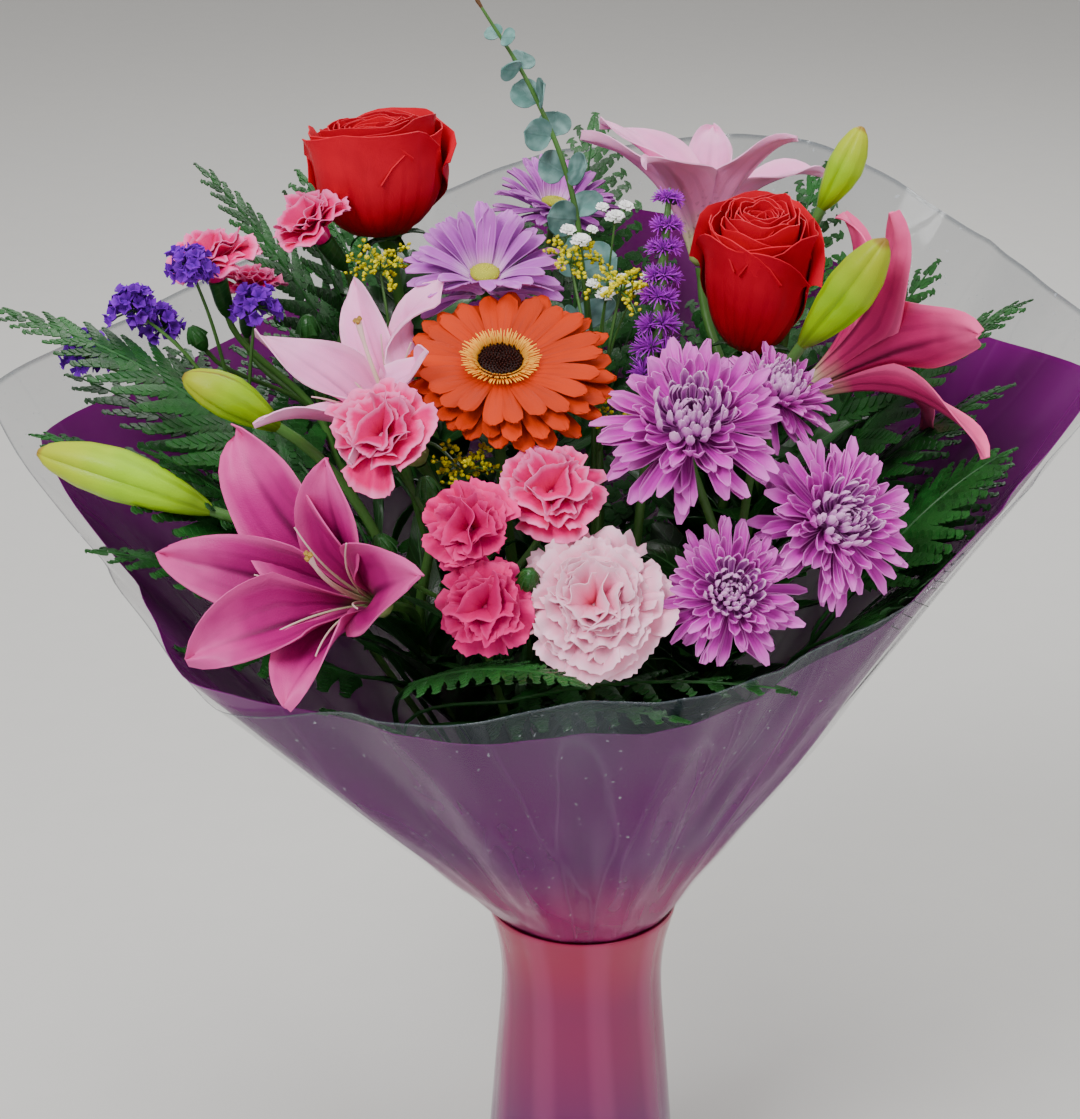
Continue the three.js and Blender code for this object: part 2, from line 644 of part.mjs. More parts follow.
function lilyHeart(name, { at, faces, spin, colour }) {
  const throat = [[0, 0], [3.4, 0], [7, 3.5], [7, 8], [3.4, 12], [0, 12]];
  addNode(name, colour, moved(turned(throat, 6), stance(at, faces, spin)));
}

function lilyPetals(name, { at, faces, length, spin }) {
  const makers = [];
  for (let k = 0; k < 6; k += 1) {
    const inner = k % 2 === 0;
    const form = inner ? { root: 3.4, wrap: 54, to: 92 } : { root: 5.6, wrap: 44, to: 104 };
    const reach = length * (inner ? 1 : 0.96);
    const width = length * (inner ? 0.185 : 0.125);
    const petal = {
      ...form, azimuth: 60 * k, rise: 4, length: reach, from: 14, width, outline: lilyOutline, cup: 0.2,
    };
    makers.push(bent(petal, (shape) => bladeFrom(PETAL_ROWS, shape, 1)));
  }
  growNode(name, stance(at, faces, spin), makers);
}

// Pistil and filaments standing in the throat of an open lily
function lilyStamens(name, { at, faces, length, spin }) {
  const makers = [];
  const start = 12 + GAP;
  const base = turned([[0, start], [2, start], [1.6, start + 4], [0, start + 4]], 5);
  for (let k = 0; k < 5; k += 1) {
    const pistil = k === 4;
    makers.push([1, 0.8, 0.6].map((size) => () => {
      const form = pistil ? { root: 0, from: 2, to: 22 } : { root: 0.9, from: 10, to: 48 };
      const reach = size * length * (pistil ? 0.68 : 0.56);
      const shape = petalSurface({
        ...form, azimuth: 90 * k + 45, rise: start + 1, length: reach, width: 1, outline: () => 1,
      });
      const radii = pistil ? [1.1, 0.9, 2] : [0.7, 0.6, 1.2];
      return rod([shape(0, 0), shape(0.5, 0), shape(1, 0)], radii, 3);
    }));
  }
  const matrix = stance(at, faces, spin);
  addNode(name, 'anther', moved(base, matrix));
  growNode(name, matrix, makers);
}

// Rings of like petals, given as count, tilt at root, tilt at tip, length, width, rise and first azimuth
function ringMakers(rings, make, shared) {
  const makers = [];
  for (const [count, from, to, length, width, rise, turn] of rings) {
    for (let k = 0; k < count; k += 1) {
      const drawn = {
        azimuth: turn + 360 * k / count + draw(-4, 4),
        to: to + draw(-8, 8),
        length: length * draw(0.93, 1.05),
        skew: draw(-1, 1) * (shared.skew || 0),
      };
      makers.push(bent({ ...shared, ...drawn, rise, from, width }, make));
    }
  }
  return makers;
}

function gerbera() {
  const matrix = stance(GERBERA.at, GERBERA.faces);
  const r = GERBERA.radius;
  const rings = [[10, 68, 80, r * 0.64, 5, 7.5, 4], [15, 80, 94, r * 0.78, 6.2, 4, 0]];
  const shared = { root: 9.5, outline: rayOutline, cup: 0.1 };
  const makers = ringMakers(rings, (shape) => quillFrom([0, 0.7], shape, 1.3), shared);
  growNode('gerbera_rays', matrix, makers);
}

function gerberaHeart() {
  const matrix = stance(GERBERA.at, GERBERA.faces);
  const receptacle = [[0, 0], [9, 0], [12.5, 4], [12, 9], [0, 9]];
  addNode('gerbera_rays', 'gerbera', moved(turned(receptacle, 10), matrix));
  const low = 9 + GAP;
  const disc = [turned([[0, low], [10.5, low], [11.5, low + 1.6], [7, low + 3.2], [0, low + 2.4]], 10)];
  for (let k = 0; k < 8; k += 1) {
    const shape = petalSurface({
      azimuth: 45 * k, root: 9, rise: low + 0.9, length: 6, from: 20, to: 70, width: 1.5, outline: () => 1,
    });
    disc.push(quillFrom([0], shape, 1.2));
  }
  addNode('gerbera_disc', 'gerberaDisc', moved(Manifold.union(disc), matrix));
}

function carnationHeart(name, { at, faces, radius }, colour) {
  const r = radius;
  const profile = [[0, 0], [4.6, 0], [0.24 * r, 0.14 * r], [0.2 * r, 0.42 * r], [0, 0.56 * r]];
  addNode(name, colour, moved(turned(profile, 5), stance(at, faces)));
}

// A carnation built from the stem up: each tier of petals is a ruffled, notched skirt, and its wall
// runs on from tier to tier, so that the whole bloom is a single skin
function carnation(name, { at, faces, radius }, petals, tiers) {
  const matrix = stance(at, faces);
  const sides = petals * 3;
  const ruffles = tiers.map(() => Array.from({ length: sides }, () => 0.08 * radius * draw(0.4, 1)));
  const point = (out, up, k) => {
    const a = 2 * Math.PI * k / sides;
    return new THREE.Vector3(out * Math.cos(a), out * Math.sin(a), up).applyMatrix4(matrix);
  };
  const tierPoint = (tier, size, k, lift) => {
    const [lean, reach, low] = tiers[tier];
    const waist = waistOf(tier);
    const out = waist + reach * radius * size * Math.sin(rad(lean)) - lift * Math.cos(rad(lean));
    const up = low * radius + reach * radius * size * Math.cos(rad(lean)) + lift * Math.sin(rad(lean));
    return point(out, up, k + 0.4 * tier);
  };
  const waistOf = (tier) => 0.2 * radius * (1 - 0.16 * tier);
  const roomFor = (tier, petal) => [1, 0.85, 0.7, 0.55, 0.42, 0.3].find((size) => {
    const room = [];
    for (const k of [3 * petal - 1, 3 * petal, 3 * petal + 1, 3 * petal + 2]) {
      room.push(tierPoint(tier, 0, k, 0));
      room.push(tierPoint(tier, size, k, -0.08 * radius), tierPoint(tier, size, k, 0.08 * radius + 1));
    }
    return isClear(Manifold.hull(room.map((p) => p.toArray())), name);
  }) || 0.15;
  const build = (shrink) => {
    const rings = [];
    const ring = (make) => rings.push(Array.from({ length: sides }, (_, k) => make(k)));
    ring((k) => point(4.5, 0, k));
    tiers.forEach(([, , low, high], tier) => {
      ring((k) => point(waistOf(tier), low * radius, k + 0.4 * tier));
      for (const face of [0, 1]) {
        ring((k) => {
          const petal = Math.floor(((k + 1) % sides) / 3);
          const notch = k % 3 === 2;
          const before = sizes[tier][(petal + petals - 1) % petals];
          const size = notch ? 0.7 * Math.min(sizes[tier][petal], before) : sizes[tier][petal];
          const ruffle = notch ? 0 : ruffles[tier][k] * (k % 3 ? -1 : 1);
          return tierPoint(tier, size * shrink, k, ruffle + 0.8 * face);
        });
      }
      if (tier === tiers.length - 1) ring((k) => point(waistOf(tier) * 0.8, high * radius, k + 0.4 * tier));
    });
    const points = rings.flat();
    const triangles = [];
    const bottom = points.push(point(0, 0, 0)) - 1;
    const top = points.push(point(0, tiers[tiers.length - 1][3] * radius, 0)) - 1;
    const last = (rings.length - 1) * sides;
    for (let k = 0; k < sides; k += 1) {
      const n = (k + 1) % sides;
      triangles.push([bottom, n, k], [top, last + k, last + n]);
      for (let r = 0; r + 1 < rings.length; r += 1) {
        const a = r * sides;
        triangles.push([a + k, a + n, a + sides + n], [a + k, a + sides + n, a + sides + k]);
      }
    }
    return solidFrom(points, triangles);
  };
  const sizes = tiers.map((_, tier) => Array.from({ length: petals }, (__, petal) => roomFor(tier, petal)));
  const whole = [1, 0.9, 0.8, 0.7, 0.6].map(build).find((solid) => isClear(solid, name));
  solids.set(name, whole || build(0.5));
}

// Tiers of carnation petals: lean, reach, low and high end, the last three as shares of the radius
const FULL_TIERS = [
  [98, 0.84, 0.12, 0.2], [72, 0.8, 0.24, 0.3], [46, 0.7, 0.36, 0.44], [20, 0.5, 0.48, 0.56],
];
const SPRAY_TIERS = [[88, 0.84, 0.16, 0.26], [40, 0.74, 0.34, 0.5]];

function chrysanthemumHeart(name, { at, faces, radius, spin = 0 }) {
  const r = radius;
  const profile = [[0, 0], [5.5, 0], [0.26 * r, 0.12 * r], [0.24 * r, 0.32 * r], [0, 0.44 * r]];
  addNode(name, 'chrysanthemum', moved(turned(profile, 6), stance(at, faces, spin)));
}

function chrysanthemumPetals(name, { at, faces, radius, spin = 0 }) {
  const r = radius;
  const rings = [
    [3, 50, -60, 0.45 * r, 0.12 * r, 0.33 * r, 20], [5, 62, -10, 0.6 * r, 0.11 * r, 0.25 * r, 0],
    [6, 62, 68, 0.76 * r, 0.12 * r, 0.17 * r, 10], [8, 86, 96, 0.86 * r, 0.13 * r, 0.09 * r, 0],
  ];
  const make = (shape) => quillFrom([0, 0.62], shape, 1.5);
  const shared = { root: 0.18 * r, outline: rayOutline, cup: 0.3, skew: 3 };
  growNode(name, stance(at, faces, spin), ringMakers(rings, make, shared));
}

function daisyHeart(name, { at, faces }) {
  const matrix = stance(at, faces);
  const receptacle = [[0, 0], [5.5, 0], [8.5, 3], [8, 6], [0, 6]];
  addNode(`${name}_rays`, 'daisy', moved(turned(receptacle, 8), matrix));
  const low = 6 + GAP;
  const button = [[0, low], [7.4, low], [6.6, low + 2], [3, low + 3.4], [0, low + 3.6]];
  addNode(`${name}_disc`, 'daisyDisc', moved(turned(button, 8), matrix));
}

function daisyRays(name, { at, faces, radius }) {
  const r = radius;
  const rings = [[5, 66, 62, 0.7 * r, 0.14 * r, 4.4, 10], [10, 72, 82, 0.84 * r, 0.15 * r, 1.8, 0]];
  const make = (shape) => quillFrom([0, 0.66], shape, 1.1);
  const shared = { root: 6.6, outline: rayOutline, cup: 0.1, skew: 2 };
  growNode(`${name}_rays`, stance(at, faces), ringMakers(rings, make, shared));
}

// Spike of whorls up the stem; in each whorl every other point is drawn out into a floret
function liatris() {
  const sides = 8;
  const axis = vec(LIATRIS.top).sub(vec(LIATRIS.foot));
  const height = axis.length();
  const step = (height - 8) / LIATRIS.whorls;
  const points = [new THREE.Vector3(0, 0, -8)];
  const rings = [[2, 2, -8, 0]];
  for (let k = 0; k < LIATRIS.whorls; k += 1) {
    const reach = lerp(15, 8, k / LIATRIS.whorls);
    rings.push([2.6, 2.6, k * step, 0.4 * k], [3, reach, (k + 0.62) * step, 0.4 * k]);
  }
  rings.push([1.4, 1.4, height - 6, 0], [1, 2.4, height, 0]);
  for (const [small, large, z, turn] of rings) {
    for (let k = 0; k < sides; k += 1) {
      const a = 2 * Math.PI * k / sides + turn;
      const r = k % 2 ? large : small;
      const lift = k % 2 ? 0.25 * (large - small) : 0;
      points.push(new THREE.Vector3(r * Math.cos(a), r * Math.sin(a), z + lift));
    }
  }
  const last = points.push(new THREE.Vector3(0, 0, height + 4)) - 1;
  const triangles = [];
  for (let k = 0; k < sides; k += 1) {
    const n = (k + 1) % sides;
    triangles.push([0, 1 + n, 1 + k]);
    for (let r = 0; r + 1 < rings.length; r += 1) {
      const a = 1 + r * sides;
      const b = a + sides;
      triangles.push([a + k, a + n, b + n], [a + k, b + n, b + k]);
    }
    triangles.push([last - sides + k, last - sides + n, last]);
  }
  const spike = moved(solidFrom(points, triangles), stance(LIATRIS.foot, axis.toArray()));
  growNode('liatris', null, [[() => spike]]);
}

// A tight bunch of eight pointed florets, drawn out of the faces of an octahedron
function burst(at, inner, outer, turn) {
  const axes = [[1, 0, 0], [-1, 0, 0], [0, 1, 0], [0, -1, 0], [0, 0, 1], [0, 0, -1]];
  const points = axes.map((d) => vec(d).multiplyScalar(inner));
  const triangles = [];
  for (const x of [0, 1]) {
    for (const y of [2, 3]) {
      for (const z of [4, 5]) {
        const out = vec(axes[x]).add(vec(axes[y])).add(vec(axes[z])).setLength(outer * draw(0.85, 1.1));
        const peak = points.push(out) - 1;
        const [a, b, c] = (x + y + z) % 2 ? [x, z, y] : [x, y, z];
        triangles.push([a, b, peak], [b, c, peak], [c, a, peak]);
      }
    }
  }
  const spin = new THREE.Euler(turn, 0.6 * turn, 0);
  return solidFrom(points.map((p) => p.applyEuler(spin).add(at)), triangles);
}

// Bunches of florets on thin branches from the top of a stem
function spray(name) {
  const { end, dir, clusters, inner, outer, twig } = SPRAYS[name];
  clusters.forEach((tip, index) => {
    const start = vec(end).addScaledVector(vec(dir).normalize(), -2 - 7 * index);
    const top = vec(tip);
    const away = top.clone().sub(start).normalize();
    const bends = [
      [0, 0, 4], [0, 0, 24], [14, 0, 8], [-14, 0, 8], [0, 14, 8],
      [0, -14, 8], [0, 26, 20], [0, -26, 10], [0, 0, -16], [20, 20, 20],
    ];
    const twigs = bends.map((bend) => () => {
      const middle = start.clone().lerp(top, 0.5).add(vec(bend));
      return rod([start.clone().addScaledVector(away, -3), middle, top], [twig, twig, twig * 0.8], 3);
    });
    if (growNode(name, null, [twigs])) {
      const turn = draw(0, 3);
      const bursts = [1, 0.75, 0.5].map((size) => () => burst(top, inner * size, outer * size, turn));
      growNode(name, null, [bursts]);
    }
  });
}

function fernRib({ foot, tip, rise }) {
  const a = vec(foot);
  const c = vec(tip);
  const b = a.clone().lerp(c, 0.5).add(new THREE.Vector3(0, 0, rise));
  return new THREE.QuadraticBezierCurve3(a, b, c);
}

// A fern blade: one thin arched slab whose leaflets are cut in to the rib
function fern(name, frond) {
  const { width, pairs = 7 } = frond;
  const curve = fernRib(frond);
  const span = curve.v0.distanceTo(curve.v2);
  const point = (t, side, out, forward) => {
    const p = curve.getPoint(Math.min(t, 1));
    const along = curve.getTangent(Math.min(t, 1)).normalize();
    const across = along.clone().cross(new THREE.Vector3(0, 0, 1)).normalize();
    const up = across.clone().cross(along);
    p.addScaledVector(across, side * out).addScaledVector(along, forward);
    return p.addScaledVector(up, -0.012 * out * out);
  };
  const points = [];
  const faces = [];
  const ribs = [];
  for (let k = 0; k <= pairs; k += 1) {
    const t = k / pairs;
    const half = lerp(1.6, 0.8, t);
    points.push(point(t, -1, half, 0), point(t, 1, half, 0));
    ribs.push(points.length - 2);
  }
  for (let k = 0; k < pairs; k += 1) {
    const [l0, r0, l1, r1] = [ribs[k], ribs[k] + 1, ribs[k + 1], ribs[k + 1] + 1];
    faces.push([l0, r0, r1], [l0, r1, l1]);
    const t = (k + 0.5) / pairs;
    const reach = width * (1 - 0.82 * t) * (k === 0 ? 0.8 : 1) * (k % 2 ? 1 : 0.9);
    const step = span / pairs;
    for (const side of [-1, 1]) {
      const [root0, root1] = side < 0 ? [l0, l1] : [r0, r1];
      for (const size of [1, 0.75, 0.5, 0.28]) {
        const belly = point(t, side, reach * size * 0.5, -step * 0.12 + reach * size * 0.14);
        const end = point(t, side, reach * size, reach * size * 0.42);
        const order = side < 0 ? [[0, 3, 1], [3, 2, 1]] : [[0, 1, 3], [3, 1, 2]];
        const test = slab([points[root0], belly, end, points[root1]], order, LEAF_THICKNESS);
        if (isClear(test, name)) {
          const m = points.push(belly, end) - 2;
          const corners = [root0, m, m + 1, root1];
          faces.push(...order.map((corner) => corner.map((k) => corners[k])));
          break;
        }
      }
    }
  }
  const end = points.push(point(1, 0, 0, 6)) - 1;
  faces.push([ribs[pairs], ribs[pairs] + 1, end]);
  growNode(name, null, [[() => slab(points, faces, LEAF_THICKNESS)]]);
}

// Round leaves in pairs along a eucalyptus stem, smaller towards the tip
function eucalyptus(name, { path, leaf, pairs }) {
  const curve = new THREE.CatmullRomCurve3(path.map(vec));
  const line = [0, 1 / 3, 2 / 3, 1].map((t) => curve.getPoint(t));
  line.unshift(line[0].clone().addScaledVector(curve.getTangent(0), -6));
  const makers = [[() => rod(line, [2, 2, 1.7, 1.3, 0.9], 5)]];
  for (let k = 0; k < pairs; k += 1) {
    const t = 0.12 + 0.86 * k / pairs;
    const third = Math.min(Math.floor(t * 3), 2);
    const low = curve.getPoint(third / 3);
    const high = curve.getPoint((third + 1) / 3);
    const at = low.clone().lerp(high, 3 * t - third);
    const along = high.clone().sub(low);
    const radius = leaf * lerp(1, 0.5, k / pairs);
    for (const side of [0, 180]) {
      const petal = {
        azimuth: side + 77 * k, root: 0.4, rise: -1, length: 2.1 * radius, from: 62, to: 74, width: radius,
        outline: (v) => 0.05 + Math.sin(Math.PI * Math.pow(v, 0.85)) * 0.95, cup: 0.15,
      };
      const matrix = stance(at.toArray(), along.toArray());
      const rows = [[0, [-1, 1]], [0.36, [-1, 1]], [0.75, [-1, 1]], [1, [0]]];
      makers.push(bent(petal, (shape) => moved(bladeFrom(rows, shape, LEAF_THICKNESS), matrix)));
    }
  }
  growNode(name, null, makers);
}

// Pointed leaves on a stem
function leavesOn(name, leaves) {
  const line = stemLines.get(name);
  const makers = leaves.map(([share, azimuth, tilt, length, width]) => {
    const at = line[2].clone().lerp(line[3], share);
    const petal = {
      azimuth, root: 0, rise: -GAP, length, from: tilt - 14, to: tilt + 26, width,
      outline: leafOutline, cup: 0.3, wave: 1,
    };
    const matrix = stance(at.toArray(), [0, 0, 1]);
    return bent(petal, (shape) => moved(bladeFrom(LEAF_ROWS, shape, LEAF_THICKNESS), matrix));
  });
  growNode(name, null, makers);
}

function sepalsUnder(name, { at, faces }, radius, length, width) {
  const makers = [];
  for (let k = 0; k < 5; k += 1) {
    const outline = (t) => 1 - 0.9 * t;
    const root = radius - 1.5;
    const petal = { azimuth: 72 * k, root, rise: -3, length, from: 70, to: 150, width, outline };
    makers.push(bent(petal, (shape) => quillFrom([0], shape, 1.4)).slice(0, 6));
  }
  growNode(name, stance(at, faces), makers);
}

function buildBouquet() {
  vase();
  film('wrapper_clear_film', 'clearFilm', 0, 2);
  film('wrapper_pink_film', 'pinkFilm', FILM_SPACING, 3);
  allStems();
  Object.entries(ROSES).forEach(([name, rose]) => roseHeart(`${name}_bloom`, rose));
  Object.entries(LILIES).forEach(([name, lily]) => lilyHeart(`${name}_bloom`, lily));
  gerberaHeart();
  carnationHeart('pale_carnation_bloom', PALE_CARNATION, 'paleCarnation');
  for (const [name, bloom] of Object.entries(SPRAY_CARNATIONS)) {
    carnationHeart(`${name}_bloom`, bloom, 'carnation');
  }
  Object.entries(CHRYSANTHEMUMS).forEach(([name, bloom]) => chrysanthemumHeart(`${name}_bloom`, bloom));
  Object.entries(DAISIES).forEach(([name, bloom]) => daisyHeart(name, bloom));
  carnation('pale_carnation_bloom', PALE_CARNATION, 7, FULL_TIERS);
  gerbera();
  Object.entries(ROSES).forEach(([name, rose]) => rosePetals(`${name}_bloom`, rose));
  for (const [name, bloom] of Object.entries(SPRAY_CARNATIONS)) {
    carnation(`${name}_bloom`, bloom, 5, SPRAY_TIERS);
  }
  Object.entries(LILIES).forEach(([name, lily]) => lilyPetals(`${name}_bloom`, lily));
  Object.entries(CHRYSANTHEMUMS).forEach(([name, bloom]) => chrysanthemumPetals(`${name}_bloom`, bloom));
  Object.entries(DAISIES).forEach(([name, bloom]) => daisyRays(name, bloom));
  lilyStamens('lily_front_stamens', LILIES.lily_front);
  lilyStamens('lily_mid_stamens', LILIES.lily_mid);
  liatris();
  eucalyptus('eucalyptus_tall', EUCALYPTUS.eucalyptus_tall);
  Object.entries(FERNS).forEach(([name, frond]) => fern(name, frond));
  Object.keys(SPRAYS).forEach(spray);
  Object.entries(LEAVES).forEach(([name, leaves]) => leavesOn(name, leaves));
  sepalsUnder('rose_left_stem', ROSES.rose_left, 7, 22, 3.4);
  sepalsUnder('rose_right_stem', ROSES.rose_right, 7, 22, 3.4);
}

// Wraps the solids as named meshes
function bouquetGroup() {
  const group = new THREE.Group();
  group.name = 'mixed_flower_bouquet';
  for (const [name, solid] of solids) {
    const mesh = solid.getMesh();
    const geometry = new THREE.BufferGeometry();
    const positions = [];
    for (let k = 0; k < mesh.numVert; k += 1) {
      positions.push(...mesh.vertProperties.slice(k * mesh.numProp, k * mesh.numProp + 3));
    }
    geometry.setAttribute('position', new THREE.Float32BufferAttribute(positions, 3));
    geometry.setIndex([...mesh.triVerts]);
    geometry.computeVertexNormals();
    const glassy = name === 'vase' || name.startsWith('wrapper');
    const material = new THREE.MeshStandardMaterial({
      color: COLOURS[colours.get(name)],
      roughness: glassy ? 0.15 : 0.65,
      metalness: 0,
      transparent: glassy,
      opacity: glassy ? 0.5 : 1,
    });
    const node = new THREE.Mesh(geometry, material);
    node.name = name;
    group.add(node);
  }
  return group;
}

buildBouquet();
export default bouquetGroup();
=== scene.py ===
"""Mixed flower bouquet in pink and clear film, standing in a waisted pink glass vase: the looks."""

import functools
import math
import random

import bpy
import numpy as np
from mathutils import Matrix


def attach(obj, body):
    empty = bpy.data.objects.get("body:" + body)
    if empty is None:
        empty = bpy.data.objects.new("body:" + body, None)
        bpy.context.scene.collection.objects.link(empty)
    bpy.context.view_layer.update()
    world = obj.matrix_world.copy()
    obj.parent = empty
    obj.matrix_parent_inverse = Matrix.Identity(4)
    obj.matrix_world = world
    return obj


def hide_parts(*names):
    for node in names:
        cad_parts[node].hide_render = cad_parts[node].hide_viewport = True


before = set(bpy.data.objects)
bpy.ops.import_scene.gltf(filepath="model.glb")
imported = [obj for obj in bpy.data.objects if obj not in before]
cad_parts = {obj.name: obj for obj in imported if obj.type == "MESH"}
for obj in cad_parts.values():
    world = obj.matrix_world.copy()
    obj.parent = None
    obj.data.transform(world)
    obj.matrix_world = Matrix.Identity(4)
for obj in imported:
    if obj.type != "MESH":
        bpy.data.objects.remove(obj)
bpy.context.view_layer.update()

bl_info = {
    "name": "Mixed Flower Bouquet",
    "version": (1, 0, 0),
    "blender": (4, 5, 0),
    "location": "View3D > Sidebar > Bouquet",
    "description": "Builds the petals, leaves, films and glass of a mixed bouquet round its solids",
    "category": "Add Mesh",
}

MM = 0.001
GOLDEN = 137.508
# Air between a bloom and the end of its stem
GAP = 0.3
# Edges that bend by more degrees than this stay sharp
SHARP_EDGE = 48
# The camera's place beside the vase's axis in metres, and how many degrees up from straight down it looks
CAMERA_SIDE = -0.0229
CAMERA_TILT = 67
# Half the floor's width in metres, and its points along one side
FLOOR_REACH, FLOOR_POINTS = 14, 57

# Arrangement in millimetres: the same places, directions and sizes as in the part's source
ROSES = {
    "rose_left": ([-101, 60, 578], [-0.12, -0.12, 1], 35, 62, 20),
    "rose_right": ([82, -5, 538], [0.02, -0.26, 1], 32, 76, 0),
}
GERBERA = ([-42, -66, 543], [0.04, -0.42, 0.9], 47)
LILIES = {
    "lily_front": ([-95, -113, 446], [-0.5, -0.72, 0.42], 104, 12),
    "lily_mid": ([-80, -62, 498], [-0.46, -0.2, 0.88], 92, 40),
    "lily_back": ([60, 52, 562], [0, 0.25, 0.95], 88, 10),
    "lily_right": ([103, -36, 525], [0.84, 0.02, 0.53], 100, 30),
}
PALE_CARNATION = ([2, -140, 452], [0, -0.72, 0.69], 40)
SPRAY_CARNATIONS = {
    "carnation_a": ([-93, -112, 526], [-0.15, -0.7, 0.7], 25),
    "carnation_b": ([-53, -136, 492], [-0.2, -0.8, 0.56], 21),
    "carnation_c": ([-19, -114, 497], [0.1, -0.6, 0.8], 24),
    "carnation_d": ([-46, -150, 462], [-0.12, -0.9, 0.4], 22),
    "carnation_e": ([-184, 16, 566], [-0.2, -0.12, 1], 23),
    "carnation_f": ([-131, 26, 584], [-0.5, -0.25, 0.85], 22),
    "carnation_g": ([-172, 42, 548], [0.1, 0, 1], 16),
}
CHRYSANTHEMUMS = {
    "chrysanthemum_a": ([46, -104, 528], [0, -0.66, 0.75], 45),
    "chrysanthemum_b": ([111, -108, 484], [0.36, -0.75, 0.55], 41),
    "chrysanthemum_c": ([64, -138, 462], [0.05, -0.85, 0.52], 35),
    "chrysanthemum_d": ([88, -64, 528], [0.3, -0.3, 0.9], 30),
}
DAISIES = {
    "daisy_left": ([-50, -8, 571], [0.02, -0.3, 0.95], 41),
    "daisy_back": ([-16, 86, 580], [0.15, 0, 1], 34),
}
# Spray carnations without pale rims
FULL_COLOURED = ("carnation_b", "carnation_d")
# How far the petals reach beyond the plain form of the bloom
CARNATION_FULLNESS = {"pale_carnation_petal": 1.12, "carnation_petal": 1.28}
# Count of petals, their breadth as a share of the radius, and the steps from root to tip
CARNATION_PETALS = {"pale_carnation_petal": (46, 0.42, 7), "carnation_petal": (17, 0.56, 5)}
LILY_BUDS = {
    "lily_left_stem": [([-179, -88, 484], [-263, -70, 507], 13.5), ([-146, -78, 522], [-190, -80, 549], 11)],
    "lily_right_stem": [([116, 20, 601], [135, 20, 643], 9.5), ([101, -62, 558], [136, -78, 614], 12.5)],
}
# Count of petals, and how much higher those at the front stand, as a share of the rose's height
ROSE_PETALS = 30
ROSE_FRONT_RISE = {"rose_left": 0.26, "rose_right": 0.03}
# How full and how tall the petals stand against the plain form
ROSE_FULLNESS = {"rose_left": (1.08, 0.98), "rose_right": (0.87, 1.08)}
# Turn away from an even spread, opening and share of the lily's length, for each tepal
LILY_TEPALS = {
    "lily_front": [
        (-15, 0.7, 0.85), (0, 0.65, 0.9), (-12, 0.88, 1.1), (-32, 0.76, 1.1), (-34, 0.5, 1.0),
        (-34, 0.52, 0.92),
    ],
    "lily_mid": [
        (14, 0.84, 1.0), (-10, 0.7, 1.1), (-5, 0.5, 1.05), (-5, 0.6, 1.05), (-20, 0.85, 0.9),
        (-5, 0.5, 0.8),
    ],
    "lily_back": [
        (0, 0.9, 0.95), (5, 0.6, 1.05), (10, 0.65, 1.1), (0, 0.7, 1.05), (-5, 0.85, 1.0), (5, 0.7, 1.05),
    ],
    "lily_right": [
        (5, 1.05, 0.95), (0, 0.95, 1.05), (-10, 0.8, 0.95), (0, 0.62, 1.1), (0, 0.55, 1.05), (0, 0.8, 1.0),
    ],
}
# Where another bloom bends petals aside: its place, direction, radius, half depth and height over the root
GERBERA_ROOM = (*GERBERA[:2], 55, 13, 7)
ROOMS = {
    "lily_mid": [GERBERA_ROOM, (*DAISIES["daisy_left"][:2], 48, 16, 0)],
    "daisy_left": [(*GERBERA[:2], 55, 15, 10)],
}
LILY_BREADTH = {"lily_front": 0.98, "lily_mid": 0.7, "lily_back": 0.84, "lily_right": 0.92}
CHRYSANTHEMUM_PETALS = 168
# Shares of the chrysanthemum's petals that lie inside its heart and inside its middle
HEART_END, MIDDLE_END = 0.4, 0.62
# Count of rays, tilts from root to tip, share of the radius, rise of the root, turn of the layer
GERBERA_LAYERS = [
    (24, (82, 92, 98), 0.9, 3.2, 0), (24, (74, 86, 93), 0.88, 4.6, 7.5), (22, (64, 80, 88), 0.78, 6.2, 3),
]
DAISY_LAYERS = [
    (19, (82, 88, 98), 0.84, 1.6, 0), (18, (70, 78, 88), 0.82, 3.0, 9), (15, (58, 66, 78), 0.72, 4.2, 4),
]
# Count of florets, radius of their roots, length, tilts at root and tip
GERBERA_BRUSH = [(70, 10.4, 5.6, (12, 52)), (80, 10.8, 7.6, (26, 66)), (80, 11.2, 9.0, (44, 78))]
LIATRIS = ([31, -46, 528], [39, -24, 624])
# Closed green buds on the carnations' stems: place and radius
CARNATION_BUDS = {
    "carnation_front_stem": [
        ([-97, -134, 490], 5.4), ([-27, -158, 483], 5.0), ([-51, -160, 468], 4.6), ([-76, -116, 512], 5.2),
    ],
    "carnation_left_stem": [([-140, 16, 548], 5.6), ([-196, -4, 548], 4.6)],
}
SPRAYS = {
    "statice": ([-176, 0, 500], [-0.3, 0, 1], 2.0),
    "solidago_centre": ([6, -40, 512], [0, 0.2, 1], 1.8),
    "solidago_left": ([-92, -20, 500], [-0.1, 0, 1], 1.8),
    "gypsophila": ([4, -10, 520], [0, 0, 1], 1.4),
}
CLUSTERS = {
    "statice": [[-192, -16, 580], [-226, 12, 552], [-164, 4, 556], [-254, 14, 526], [-214, 22, 540]],
    "solidago_centre": [[16, -28, 574], [-8, -8, 582], [18, -68, 520]],
    "solidago_left": [[-102, 6, 574], [-58, -96, 506]],
    "gypsophila": [[-3, -14, 594], [9, -24, 570], [24, -8, 568], [14, 6, 600]],
}
